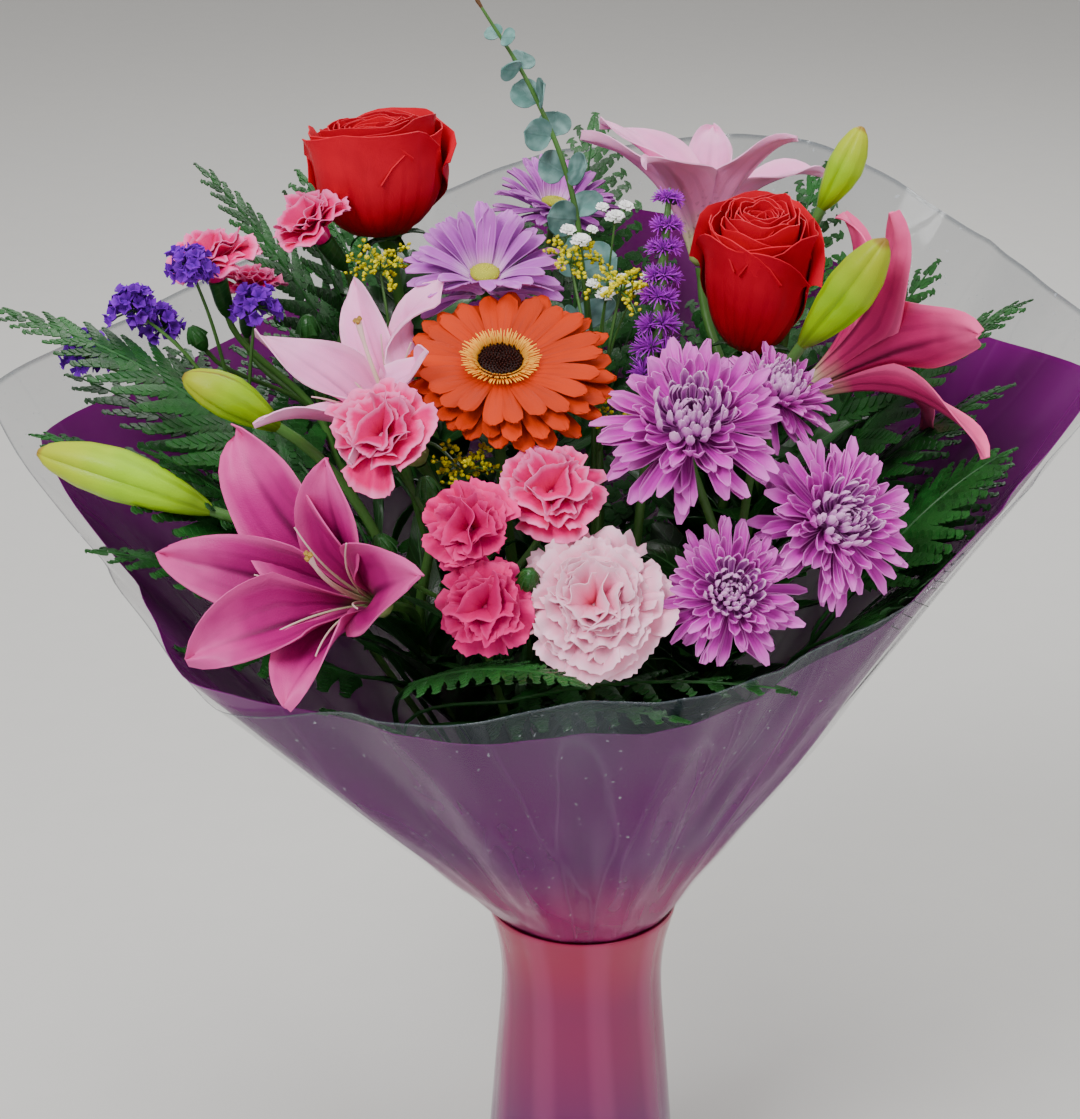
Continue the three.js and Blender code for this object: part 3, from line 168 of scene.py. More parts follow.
# Foot, tip, width of the longest leaflets, rise of the arch, pairs of leaflets
FERNS = {
    "fern_left_long": ([-140, -36, 478], [-290, -2, 556], 62, 26, 13),
    "fern_left_low": ([-150, -62, 452], [-262, -52, 508], 54, 12, 12),
    "fern_left_high": ([-110, 62, 480], [-196, 88, 602], 50, 20, 12),
    "fern_front": ([-84, -134, 414], [-8, -196, 446], 30, 14, 12),
    "fern_right_high": ([128, 12, 470], [214, 6, 556], 52, 18, 12),
    "fern_right_low": ([134, -58, 432], [202, -46, 496], 50, 14, 11),
    "fern_back_left": ([-86, 76, 470], [-150, 142, 584], 58, 20, 11),
    "fern_back": ([-8, 96, 480], [6, 156, 610], 58, 20, 11),
    "fern_back_right": ([84, 78, 470], [128, 132, 590], 58, 20, 11),
}
# Fronds that leave a fern's stalk lower down: height on the stalk, tip, width, pairs of leaflets
SIDE_FRONDS = {
    "fern_left_long": [
        (400, [-258, 24, 512], 60, 9), (440, [-212, 52, 516], 56, 8), (380, [-238, -20, 470], 50, 8),
    ],
    "fern_left_low": [
        (380, [-232, -86, 462], 50, 8), (360, [-196, -112, 420], 44, 7), (410, [-205, -70, 505], 46, 7),
    ],
    "fern_left_high": [
        (400, [-168, 110, 520], 52, 8), (430, [-150, 70, 590], 44, 7), (310, [-112, 20, 430], 54, 7),
    ],
    "fern_front": [
        (350, [-120, -150, 408], 34, 6), (360, [38, -168, 414], 32, 8), (370, [88, -150, 420], 34, 7),
    ],
    "fern_right_high": [
        (400, [205, -12, 518], 54, 9), (420, [176, 50, 560], 50, 8), (380, [196, 40, 480], 50, 8),
        (310, [112, 0, 430], 54, 7),
    ],
    "fern_right_low": [
        (380, [190, -84, 452], 48, 8), (350, [160, -112, 424], 44, 7), (400, [206, -20, 478], 46, 8),
    ],
    "fern_back_left": [
        (400, [-182, 100, 500], 50, 7), (420, [-100, 150, 520], 50, 7), (300, [-80, 70, 400], 56, 7),
    ],
    "fern_back": [
        (400, [-44, 150, 540], 50, 7), (400, [44, 150, 540], 50, 7), (290, [-24, 80, 400], 56, 7),
        (300, [34, 84, 420], 56, 7), (340, [0, 110, 460], 56, 7),
    ],
    "fern_back_right": [
        (400, [170, 90, 520], 50, 7), (420, [92, 150, 540], 50, 7), (300, [88, 66, 410], 56, 7),
    ],
}
# How coarse the lobes are on a main frond and on its side fronds, for ferns in front and at the back
FRONT_LOBES = (1.12, 1.3)
BACK_LOBES = (1.55, 1.7)
EUCALYPTUS_PATH = [[4, 30, 520], [-6, 42, 600], [-26, 52, 652], [-54, 60, 697]]
FORKS = {
    "lily_left_stem": ([-82, -60, 404], 3.2, "lily", ["lily_front", "lily_mid"]),
    "lily_right_stem": ([86, -4, 452], 3.2, "lily", ["lily_back", "lily_right"]),
    "carnation_front_stem": ([-50, -98, 424], 2.2, "carnation", ["carnation_" + k for k in "abcd"]),
    "carnation_left_stem": ([-134, 26, 486], 2.2, "carnation", ["carnation_" + k for k in "efg"]),
    "chrysanthemum_stem": ([68, -78, 424], 2.8, "chrysanthemum", list(CHRYSANTHEMUMS)),
    "daisy_stem": ([-32, 18, 500], 2.4, "chrysanthemum", list(DAISIES)),
}
SINGLES = {
    "rose_left_stem": ("rose_left", 3.2, "rose"),
    "rose_right_stem": ("rose_right", 3.2, "rose"),
    "gerbera_stem": ("gerbera", 3.0, "gerbera"),
    "pale_carnation_stem": ("pale_carnation", 2.6, "carnation"),
}
# Distance before the bloom and radius, from stem to receptacle
CALYX = {
    "rose": [(14, 0), (9, 3.6), (4, 6.2), (0, 7.3)],
    "carnation": [(20, 0), (17, 3.2), (12, 4.4), (5, 4.7), (0, 5)],
    "gerbera": [(9, 0), (5, 4.6), (2, 7.6), (0, 9)],
    "chrysanthemum": [(7, 0), (4, 3.4), (0, 6)],
    "lily": [(6, 0), (3, 2.9), (0, 3.3)],
}
HEADS = {
    **ROSES, **LILIES, **SPRAY_CARNATIONS, **CHRYSANTHEMUMS, **DAISIES,
    "gerbera": GERBERA, "pale_carnation": PALE_CARNATION,
}

# Vase profiles (radius, height) and the films' shape
VASE_OUTSIDE = [(47, 0), (52, 52), (48.4, 112), (44.2, 168), (45.6, 196), (50.4, 217)]
VASE_INSIDE = [(46.6, 217), (41.6, 196), (40.2, 168), (44.4, 112), (47.6, 52), (43.5, 17)]
VASE_FLOOR = 14
NECK_HEIGHT = 205
# Room for the stems in the neck: the radius they keep inside, where they start from, their pitch
NECK_ROOM = 27
NECK_START = 26
STEM_PITCH = 6.8
STEM_POINTS = 18
PLEATS = 10
FILM_FACETS = 240
# Radius and height from which the films' slopes are measured, and the height at which the flare starts
FLARE_RADIUS = 50.5
FLARE_HEIGHT = 223
FLARE_START = 222.6
FILM_FOOT = 138
FILM_SPACING = 4
FILM_NESTING = 0.28
# Leaves stay this near the axis below the flare, and inside the film up to this far above the pink rim
LEAF_ROOM, PAST_RIM = 30.0, 6
# Share of the flare over which it blends out of the neck
FLARE_BLEND = 0.04
# Azimuth, widening per millimetre of height, rim heights of clear and pink film
WRAPPER_RIM = [
    (0, 0.70, 535, 520), (28, 0.58, 560, 520), (55, 0.44, 600, 548), (90, 0.41, 589, 560),
    (120, 0.50, 556, 530), (150, 0.66, 528, 500), (180, 0.86, 513, 488), (200, 0.88, 452, 440),
    (218, 0.95, 402, 420), (240, 0.80, 418, 405), (270, 0.67, 428, 400), (300, 0.60, 426, 404),
    (320, 0.61, 440, 425), (340, 0.67, 492, 478), (360, 0.70, 535, 520),
]


def unit(v):
    """The vector at length 1."""
    v = np.asarray(v, float)
    return v / max(np.linalg.norm(v), 1e-9)


def smooth(t):
    """Eases a share between 0 and 1 at both ends."""
    t = np.clip(t, 0, 1)
    return t * t * (3 - 2 * t)


def spline(points, count):
    """Points on a Catmull-Rom curve; any number of columns."""
    p = np.asarray(points, float)
    p = np.vstack([2 * p[0] - p[1], p, 2 * p[-1] - p[-2]])
    u = np.linspace(0, len(p) - 3, count)
    k = np.minimum(u.astype(int), len(p) - 4)
    t = (u - k)[:, None]
    a, b, c, d = p[k], p[k + 1], p[k + 2], p[k + 3]
    return 0.5 * (2 * b + (c - a) * t + (2 * a - 5 * b + 4 * c - d) * t**2 + (3 * b - a - 3 * c + d) * t**3)


def at_share(path, t):
    """Point at a share of the way along a list of points."""
    steps = np.linspace(0, 1, len(path))
    return np.array([np.interp(t, steps, path[:, k]) for k in range(3)])


def point_at(path, height):
    """Point of a path at a height."""
    return np.array([np.interp(height, path[:, 2], path[:, k]) for k in range(3)])


def pleats(azimuth):
    """Depth of the films' pleats round the axis, from 0 at a crest to 1 in a fold."""
    return 0.5 - 0.5 * np.cos(PLEATS * azimuth)


def on_disc(place, radius, degrees, height):
    """Point over a bloom's face, at a radius, a turn and a height."""
    turn = math.radians(degrees)
    return place[0] @ [radius * math.cos(turn), radius * math.sin(turn), height] + place[1]


def turned(radius, angle, height):
    """Points round the local axis."""
    return np.stack(np.broadcast_arrays(radius * np.cos(angle), radius * np.sin(angle), height), -1)


def stance(at, faces, spin=0):
    """Basis (columns) and origin that stand a local shape at a place, its +Z along the way it faces."""
    z = unit(faces)
    x = unit(np.array([1.0, 0, 0]) - z[0] * z)
    y = np.cross(z, x)
    c, s = math.cos(math.radians(spin)), math.sin(math.radians(spin))
    return np.column_stack([x * c + y * s, y * c - x * s, z]), np.asarray(at, float) + GAP * z


def rim_at(degrees):
    """Slope, clear rim and pink rim of the wrapper at azimuths, eased between the listed rows."""
    rows = np.array(WRAPPER_RIM, float)
    degrees = np.mod(degrees, 360)
    k = np.clip(np.searchsorted(rows[:, 0], degrees, side="right") - 1, 0, len(rows) - 2)
    t = smooth((degrees - rows[k, 0]) / (rows[k + 1, 0] - rows[k, 0]))
    return [rows[k, c] + (rows[k + 1, c] - rows[k, c]) * t for c in (1, 2, 3)]


def inside_film(points, margin=9.0):
    """Presses points in towards the axis where they would pass through the wrapper."""
    azimuth = np.degrees(np.arctan2(points[..., 1], points[..., 0]))
    z = points[..., 2]
    slope, _, pink = rim_at(azimuth)
    limit = FLARE_RADIUS + (np.minimum(z, pink) - FLARE_HEIGHT) * slope - margin
    limit = np.where(z < FLARE_HEIGHT, LEAF_ROOM, limit)
    radius = np.hypot(points[..., 0], points[..., 1])
    scale = np.where((radius > limit) & (z < pink + PAST_RIM), limit / np.maximum(radius, 1e-6), 1.0)
    points[..., 0] *= scale
    points[..., 1] *= scale
    return points


def beside(points, at, faces, radius, depth, height):
    """Bends points out of the lens-shaped room that another bloom's rays take up."""
    turn, centre = stance(at, faces)
    local = (points - centre) @ turn - [0, 0, height]
    reach = np.hypot(np.hypot(local[..., 0], local[..., 1]) / radius, local[..., 2] / depth)
    local = local / np.clip(reach, 0.4, 1)[..., None]
    return (local + [0, 0, height]) @ turn.T + centre


@functools.lru_cache(None)
def blade_faces(rows, cols):
    """Quads of a closed thin blade: its upper face, its lower face, and the rim between them."""
    k = np.arange(rows * cols).reshape(rows, cols)
    a, b, c, d = k[:-1, :-1], k[1:, :-1], k[1:, 1:], k[:-1, 1:]
    upper = np.stack([a, b, c, d], -1).reshape(-1, 4)
    lower = np.stack([a, d, c, b], -1).reshape(-1, 4) + rows * cols
    loop = np.concatenate([k[:, 0], k[-1, 1:], k[-2::-1, -1], k[0, -2:0:-1]])
    after = np.roll(loop, -1)
    rim = np.stack([after, loop, loop + rows * cols, after + rows * cols], -1)
    return np.vstack([upper, lower, rim])


@functools.lru_cache(None)
def tube_faces(rings, sides):
    """Quads between rings of points, and the triangles that close both ends."""
    k = np.arange(rings * sides).reshape(rings, sides)
    a, b = k[:-1], k[1:]
    quads = np.stack([a, np.roll(a, -1, 1), np.roll(b, -1, 1), b], -1).reshape(-1, 4)
    low, high = rings * sides, rings * sides + 1
    caps = [(low, n, m) for m, n in zip(k[0], np.roll(k[0], -1))]
    caps += [(high, m, n) for m, n in zip(k[-1], np.roll(k[-1], -1))]
    return quads, np.array(caps)


class Skin:
    """One piece's mesh in the making. Every point carries where it is along and across its petal or leaf,
    and a shade of its own petal, for the materials to read."""

    def __init__(self, seed):
        self.points, self.marks, self.quads, self.tris = [], [], [], []
        self.quad_paint, self.tri_paint, self.count = [], [], 0
        self.draw = random.Random(seed)
        self.vary = self.draw.uniform

    def put(self, points, marks, quads, tris=None, paint=0):
        """Adds points with their faces; paint is the number of the material."""
        self.points.append(points.reshape(-1, 3))
        self.marks.append(marks.reshape(-1, 3))
        self.quads.append(quads + self.count)
        self.quad_paint.append(np.full(len(quads), paint))
        if tris is not None:
            self.tris.append(tris + self.count)
            self.tri_paint.append(np.full(len(tris), paint))
        self.count += len(self.points[-1])

    def blade(self, shape, rows, cols, thick=0.5, paint=0, place=None, shade=None, film=False, rooms=()):
        """A closed thin petal or leaf from shape(t, s), t from root to tip and s from side to side."""
        t, s = np.meshgrid(np.linspace(0, 1, rows + 1), np.linspace(-1, 1, cols + 1), indexing="ij")
        grid = shape(t, s)
        if place:
            grid = grid @ place[0].T + place[1]
        if film:
            grid = inside_film(grid)
        for room in rooms:
            grid = beside(grid, *room)
        normal = np.cross(np.gradient(grid, axis=0), np.gradient(grid, axis=1))
        normal /= np.maximum(np.linalg.norm(normal, axis=2, keepdims=True), 1e-9)
        half = 0.5 * thick * normal
        mark = np.stack([t, s, np.full_like(t, self.draw.random() if shade is None else shade)], -1)
        self.put(
            np.concatenate([grid + half, grid - half]), np.concatenate([mark, mark]),
            blade_faces(rows + 1, cols + 1), paint=paint)

    def rings(self, rings, paint=0, shade=None):
        """A closed body from rings of points; its two ends are capped."""
        count, sides = rings.shape[:2]
        quads, caps = tube_faces(count, sides)
        ends = np.stack([rings[0].mean(0), rings[-1].mean(0)])
        along = np.repeat(np.linspace(0, 1, count)[:, None], sides, 1)
        across = np.repeat(np.linspace(-1, 1, sides)[None, :], count, 0)
        own = self.draw.random() if shade is None else shade
        mark = np.stack([along, across, np.full_like(along, own)], -1).reshape(-1, 3)
        mark = np.vstack([mark, [[0, 0, own], [1, 0, own]]])
        self.put(np.vstack([rings.reshape(-1, 3), ends]), mark, quads, caps, paint)

    def tube(self, path, radii, sides=8, paint=0, shade=None, ribs=0.0, rib_count=3):
        """A round rod along a path, with a radius at each point; ribs give it lengthwise furrows."""
        path = np.asarray(path, float)
        along = np.gradient(path, axis=0)
        along /= np.maximum(np.linalg.norm(along, axis=1, keepdims=True), 1e-9)
        across = np.array([1.0, 0, 0]) if abs(along[0][0]) < 0.8 else np.array([0, 1.0, 0])
        turns = np.linspace(0, 2 * math.pi, sides, endpoint=False)
        profile = 1 + ribs * np.cos(rib_count * turns)
        rings = []
        for p, d, r in zip(path, along, np.broadcast_to(radii, len(path))):
            across = unit(across - across.dot(d) * d)
            other = np.cross(d, across)
            round_axis = np.cos(turns)[:, None] * across + np.sin(turns)[:, None] * other
            rings.append(p + r * profile[:, None] * round_axis)
        self.rings(np.array(rings), paint, shade)

    def lathe(self, profile, sides, place, paint=0, shade=None):
        """A turned body from (radius, height) pairs."""
        turns = np.linspace(0, 2 * math.pi, sides, endpoint=False)
        rings = np.array([turned(r, turns, z) for r, z in profile])
        self.rings(rings @ place[0].T + place[1], paint, shade)

    def ball(self, centre, radius, paint=0, shade=None, stretch=(0, 0, 1), length=1.0):
        """A small bud of three rings, longer along one direction where length is above 1."""
        place = stance(centre, stretch)
        angles = np.linspace(0.4, math.pi - 0.4, 3)
        profile = [(radius * math.sin(a), -radius * length * math.cos(a)) for a in angles]
        self.lathe(profile, 6, (place[0], place[1] - GAP * unit(stretch)), paint, shade)

    def make(self, name, nodes, materials):
        """Turns what was collected into an object that stands for its nodes."""
        mesh = bpy.data.meshes.new(name)
        points = np.concatenate(self.points) * MM
        quads = np.concatenate(self.quads) if self.quads else np.zeros((0, 4), int)
        tris = np.concatenate(self.tris) if self.tris else np.zeros((0, 3), int)
        paint = np.concatenate([*self.quad_paint, *self.tri_paint])
        corners = np.concatenate([quads.ravel(), tris.ravel()])
        sizes = np.concatenate([np.full(len(quads), 4), np.full(len(tris), 3)])
        starts = np.concatenate([[0], np.cumsum(sizes)[:-1]])
        mesh.vertices.add(len(points))
        mesh.vertices.foreach_set("co", points.ravel())
        mesh.loops.add(len(corners))
        mesh.loops.foreach_set("vertex_index", corners.astype(np.int32))
        mesh.polygons.add(len(sizes))
        for key, values in (("loop_start", starts), ("loop_total", sizes), ("material_index", paint)):
            mesh.polygons.foreach_set(key, values.astype(np.int32))
        marks = mesh.attributes.new("petal", "FLOAT_VECTOR", "POINT")
        marks.data.foreach_set("vector", np.concatenate(self.marks).astype(np.float32).ravel())
        mesh.update(calc_edges=True)
        mesh.validate()
        mesh.shade_smooth()
        mesh.set_sharp_from_angle(angle=math.radians(SHARP_EDGE))
        for material in materials:
            mesh.materials.append(material)
        piece = bpy.data.objects.new(name, mesh)
        bpy.context.scene.collection.objects.link(piece)
        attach(piece, "root")
        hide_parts(*nodes)
        return piece


@functools.lru_cache(None)
def bend_line(length, degrees):
    """Centre line of a petal whose angle to the bloom's axis passes through the given values."""
    t = np.linspace(0, 1, 41)
    angle = np.radians(np.interp(t, np.linspace(0, 1, len(degrees)), degrees))
    step = length / 40

    def run(f):
        return np.concatenate([[0], np.cumsum((f[1:] + f[:-1]) / 2 * step)])

    return t, angle, run(np.sin(angle)), run(np.cos(angle))


def petal(
        azimuth, root, rise, length, bend, width, outline, cup=0.0, edge=0.0, edge_waves=2.0, fan=0.0,
        fan_waves=3.0, phase=0.0, rim=None, wrap=0, rib=0.0, skew=0.0):
    """Surface of a petal: an arched centre line, an outline, and ruffles along its sides and tip.
    Cup raises both sides and rib sinks the middle; edge ruffles the sides and fan the tip; rim cuts the tip;
    wrap bends it round the bloom's axis, at most by that many degrees a side; skew leans the tip."""
    line = bend_line(round(length, 1), tuple(round(b) for b in bend))
    turn = math.radians(azimuth)

    def shape(t, s):
        v = t * rim(s) if rim else t
        angle, out, up = (np.interp(v, line[0], values) for values in line[1:])
        half = width * outline(v)
        lift = cup * s * s * half - rib * np.exp(-((s / 0.16) ** 2)) * np.sin(np.pi * np.minimum(v + 0.08, 1))
        lift = lift + edge * np.abs(s) ** 3 * np.sin(
            2 * np.pi * edge_waves * v + phase + 1.9 * (s > 0)) * np.sqrt(v)
        lift = lift + fan * v * v * np.sin(np.pi * fan_waves * s + phase)
        x = root + out - lift * np.cos(angle)
        z = rise + up + lift * np.sin(angle)
        y = s * half + skew * v * v
        if wrap:
            y = s * np.minimum(
                half / np.maximum(x, 0.1), math.radians(wrap)) + skew * v * v / np.maximum(x, 1)
            x, y = x * np.cos(y), x * np.sin(y)
        return np.stack(
            [x * math.cos(turn) - y * math.sin(turn), x * math.sin(turn) + y * math.cos(turn), z], -1)

    return shape


def lily_outline(t):
    return 0.15 * (1 - t) + 0.02 + 0.97 * np.maximum(np.sin(np.pi * t**1.12), 0) ** 0.8


def leaf_outline(t):
    return 0.07 + np.sin(np.pi * t**0.85) * 0.93


def ray_outline(t):
    return np.clip(0.34 + 1.2 * t - 0.66 * t * t, 0, 1) * np.sqrt(
        np.clip(1 - np.clip((t - 0.8) / 0.21, 0, 1) ** 2.2, 0.02, 1))


def spoon_outline(t):
    return np.clip(0.42 + 0.9 * t - 0.3 * t * t, 0, 1) * np.sqrt(
        np.clip(1 - np.clip((t - 0.82) / 0.19, 0, 1) ** 2, 0.02, 1))


def fan_outline(t):
    return 0.1 + 0.9 * np.sin(np.minimum(t, 1) * np.pi / 2) ** 1.5


def film_radius(azimuth_degrees, inset, column, t):
    """Radius and height of a film at a share t of the way from the vase's lip to the film's rim."""
    slope, *tops = rim_at(azimuth_degrees)
    top = tops[column]
    az = np.radians(azimuth_degrees)
    fold = pleats(az)
    edge = FLARE_RADIUS - inset + (top - FLARE_HEIGHT) * slope - 7 * fold
    radius = (51 - 0.25 * inset - 1.2 * fold) * (1 - t) + edge * t
    wrinkle = (
        0.5 * np.sin(17 * az + 5 * t + 1.3) + 0.35 * np.sin(29 * az - 7 * t)
        + 0.35 * np.sin(7 * az + 9 * t + 0.6) + 0.2 * np.sin(47 * az + 11 * t))
    bunch = 0.9 * np.exp(-(((t - 0.1) / 0.07) ** 2)) * np.sin(6 * az + 2 * np.sin(3 * az) + 26 * t)
    radius = radius + bunch + wrinkle * 1.9 * np.sin(np.pi * np.minimum(t, 0.62)) + 1.5 * np.sin(np.pi * t)
    return radius, FLARE_START + (top - FLARE_START) * t


# Node graphs


def paint(text):
    """Linear colour from a hexadecimal one."""
    values = [int(text[k:k + 2], 16) / 255 for k in (0, 2, 4)]
    return tuple(v / 12.92 if v <= 0.04045 else ((v + 0.055) / 1.055) ** 2.4 for v in values)


def toned(colour, strength=1.0, lift=0.0):
    """A setting's colour made darker or lighter."""
    return tuple(np.minimum(np.array(colour) * strength + lift, 1))


class Graph:
    """Short calls for building a node tree."""

    def __init__(self, tree):
        self.tree = tree

    def add(self, kind, inputs=None, **settings):
        made = self.tree.nodes.new(kind)
        for key, value in settings.items():
            setattr(made, key, value)
        self.give(made, inputs or {})
        return made

    def give(self, node, values):
        """Feeds several inputs of a node."""
        for key, value in values.items():
            self.feed(node.inputs[key], value)

    def feed(self, socket, value):
        """Links an input, or sets it to a number, a colour or a hexadecimal colour."""
        if isinstance(value, bpy.types.NodeSocket):
            self.tree.links.new(value, socket)
        elif socket.type == "RGBA":
            colour = paint(value) if isinstance(value, str) else value[:3]
            socket.default_value = (*colour, 1)
        else:
            socket.default_value = value

    def math(self, operation, *values):
        made = self.add("ShaderNodeMath", operation=operation)
        for k, value in enumerate(values):
            self.feed(made.inputs[k], value)
        return made.outputs[0]

    def times(self, a, b):
        return self.math("MULTIPLY", a, b)

    def plus(self, a, b):
        return self.math("ADD", a, b)

    def less(self, a, b):
        return self.math("SUBTRACT", a, b)

    def times_plus(self, a, b, c):
        return self.math("MULTIPLY_ADD", a, b, c)

    def span(self, value, low, high, first=0.0, last=1.0):
        """Eases a value from first to last between low and high."""
        made = self.add("ShaderNodeMapRange", interpolation_type="SMOOTHSTEP")
        for k, given in enumerate((value, low, high, first, last)):
            self.feed(made.inputs[k], given)
        return made.outputs[0]

    def mix(self, share, a, b, blend="MIX"):
        made = self.add("ShaderNodeMix", data_type="RGBA", blend_type=blend)
        for k, given in ((0, share), (6, a), (7, b)):
            self.feed(made.inputs[k], given)
        return made.outputs[2]

    def noise(self, scale, detail, vector=None):
        made = self.add("ShaderNodeTexNoise", {"Scale": scale, "Detail": detail})
        self.feed(made.inputs["Vector"], vector or self.place())
        return made.outputs[0]

    def place(self):
        return self.add("ShaderNodeTexCoord").outputs["Object"]

    def marks(self):
        """Along, across and shade of the petal."""
        made = self.add("ShaderNodeAttribute", attribute_name="petal")
        parts = self.add("ShaderNodeSeparateXYZ", {0: made.outputs["Vector"]})
        return parts.outputs


def effect(name, inputs, outputs, build):
    """A shader node group; inputs maps a name to its default, a colour or a number."""
    tree = bpy.data.node_groups.new(name, "ShaderNodeTree")
    for key, value in inputs.items():
        kind = "NodeSocketColor" if isinstance(value, tuple) else "NodeSocketFloat"
        socket = tree.interface.new_socket(name=key, in_out="INPUT", socket_type=kind)
        socket.default_value = (*value, 1) if isinstance(value, tuple) else value
    for key, kind in outputs.items():
        tree.interface.new_socket(name=key, in_out="OUTPUT", socket_type=kind)
    graph = Graph(tree)
    given = graph.add("NodeGroupInput").outputs
    last = graph.add("NodeGroupOutput")
    for key, socket in build(graph, given).items():
        tree.links.new(socket, last.inputs[key])
    return tree


COLOUR_AND_HEIGHT = {"Color": "NodeSocketColor", "Height": "NodeSocketFloat"}


@functools.lru_cache(None)
def petal_effect():
    """Petal colour from root to tip with a rim, veins, clouding and a shade for each petal."""
    inputs = {
        "Root": (0.8, 0.8, 0.8), "Middle": (0.8, 0.3, 0.3), "Tip": (0.8, 0.3, 0.3), "Rim": (1.0, 0.9, 0.9),
        "Root End": 0.35, "Rim Start": 0.85, "Rim Strength": 0.0, "Rib": 0.0, "Veins": 0.1,
        "Vein Count": 18.0, "Shade Range": 0.3, "Freckles": 0.0,
    }

    def build(g, given):
        along, across, shade = g.marks()
        side = g.math("ABSOLUTE", across)
        cloud = g.noise(85.0, 1.0)
        cells = g.noise(1500.0, 0.0)
        wavy = g.times_plus(g.less(cloud, 0.5), 0.16, along)
        colour = g.mix(g.span(wavy, 0.02, given["Root End"]), given["Root"], given["Middle"])
        colour = g.mix(g.span(wavy, 0.4, 1.0), colour, given["Tip"])
        border = g.math("MAXIMUM", g.times(side, g.span(along, 0.1, 0.7, 0.9, 1.0)), wavy)
        rim = g.times(g.span(border, given["Rim Start"], 1.0), given["Rim Strength"])
        colour = g.mix(rim, colour, given["Rim"])
        lines = g.math("SINE", g.times_plus(across, given["Vein Count"], g.times(cloud, 2.0)))
        vein = g.times(g.span(lines, 0.2, 1.0), g.span(along, 1.0, 0.1))
        rib = g.times(g.span(side, 0.16, 0.0), g.span(along, 0.98, 0.5))
        spots = g.span(g.noise(420.0, 0.0), 0.66, 0.72)
        spots = g.times(g.times(spots, given["Freckles"]), g.span(along, 0.55, 0.2))
        value = g.times_plus(g.less(shade, 0.5), given["Shade Range"], 1.0)
        value = g.times_plus(g.less(cloud, 0.5), 0.22, value)
        value = g.less(value, g.times(vein, given["Veins"]))
        value = g.less(value, g.times(rib, given["Rib"]))
        value = g.less(value, g.times(spots, 0.6))
        colour = g.mix(1.0, colour, value, "MULTIPLY")
        height = g.times_plus(cells, 0.35, g.times(vein, -0.6))
        return {"Color": colour, "Height": g.times_plus(cloud, 0.5, height)}

    return effect("Petal Shading", inputs, COLOUR_AND_HEIGHT, build)


@functools.lru_cache(None)
def leaf_effect():
    """Leaf or stem colour with a pale midrib, slanting side veins and blotches."""
    inputs = {
        "Dark": (0.02, 0.08, 0.02), "Light": (0.05, 0.16, 0.03), "Vein Colour": (0.1, 0.22, 0.06),
        "Vein Count": 22.0, "Veins": 0.5, "Bloom": 0.0, "Bloom Colour": (0.5, 0.6, 0.58),
    }

    def build(g, given):
        along, across, shade = g.marks()
        side = g.math("ABSOLUTE", across)
        cloud = g.noise(55.0, 1.0)
        cells = g.noise(1100.0, 0.0)
        tone = g.plus(g.times(cloud, 0.6), g.times(shade, 0.55))
        colour = g.mix(g.span(tone, 0.25, 0.85), given["Dark"], given["Light"])
        slant = g.times(g.less(along, g.times(side, 0.18)), given["Vein Count"])
        lines = g.span(g.math("SINE", g.times(slant, 6.2832)), 0.82, 1.0)
        rib = g.span(side, 0.09, 0.02)
        vein = g.times(g.math("MAXIMUM", g.times(lines, 0.55), rib), given["Veins"])
        colour = g.mix(vein, colour, given["Vein Colour"])
        dust = g.times(g.span(g.noise(160.0, 1.0), 0.3, 0.75), given["Bloom"])
        colour = g.mix(dust, colour, given["Bloom Colour"])
        height = g.times_plus(cells, 0.3, g.times(vein, 0.8))
        return {"Color": colour, "Height": g.times_plus(cloud, 0.4, height)}

    return effect("Leaf Shading", inputs, COLOUR_AND_HEIGHT, build)


@functools.lru_cache(None)
def crinkle_effect():
    """Creases, milky streaks and dust specks of thin plastic film."""
    inputs = {"Scale": 14.0, "Streaks": 0.5, "Dust": 0.5}
    outputs = {"Height": "NodeSocketFloat", "Streak Mask": "NodeSocketFloat", "Dust Mask": "NodeSocketFloat"}

    def build(g, given):
        across = g.add(
            "ShaderNodeVectorMath", {0: g.place(), 1: (1.0, 1.0, 0.0)}, operation="MULTIPLY").outputs[0]
        round_axis = g.add("ShaderNodeVectorMath", {0: across}, operation="NORMALIZE").outputs[0]
        drawn_out = g.add(
            "ShaderNodeVectorMath", {0: g.place(), 1: (0.0, 0.0, 1.3)}, operation="MULTIPLY").outputs[0]
        folded = g.add("ShaderNodeVectorMath", {0: round_axis, 1: drawn_out}, operation="ADD").outputs[0]
        large = g.noise(given["Scale"], 1.0, folded)
        ridge = g.math("ABSOLUTE", g.less(large, 0.5))
        crease = g.span(ridge, 0.02, 0.0)
        small = g.noise(11.0, 1.0)
        streak = g.times(g.plus(g.times(crease, 0.6), g.span(small, 0.45, 0.8, 0.0, 0.7)), given["Streaks"])
        speck = g.times(g.span(g.noise(420.0, 0.0), 0.8, 0.84), given["Dust"])
        height = g.times_plus(small, 0.3, g.plus(large, g.times(crease, 0.1)))
        return {"Height": height, "Streak Mask": streak, "Dust Mask": speck}

    return effect("Film Crinkle", inputs, outputs, build)


def blank(name):
    """A new material, its graph and its principled shader."""
    material = bpy.data.materials.new(name)
    material.use_nodes = True
    return material, Graph(material.node_tree), material.node_tree.nodes["Principled BSDF"]


def bumped(g, shader, height, strength, distance):
    """Gives the shader a bump from a height."""
    made = g.add("ShaderNodeBump", {"Height": height, "Strength": strength, "Distance": distance})
    g.give(shader, {"Normal": made.outputs[0]})


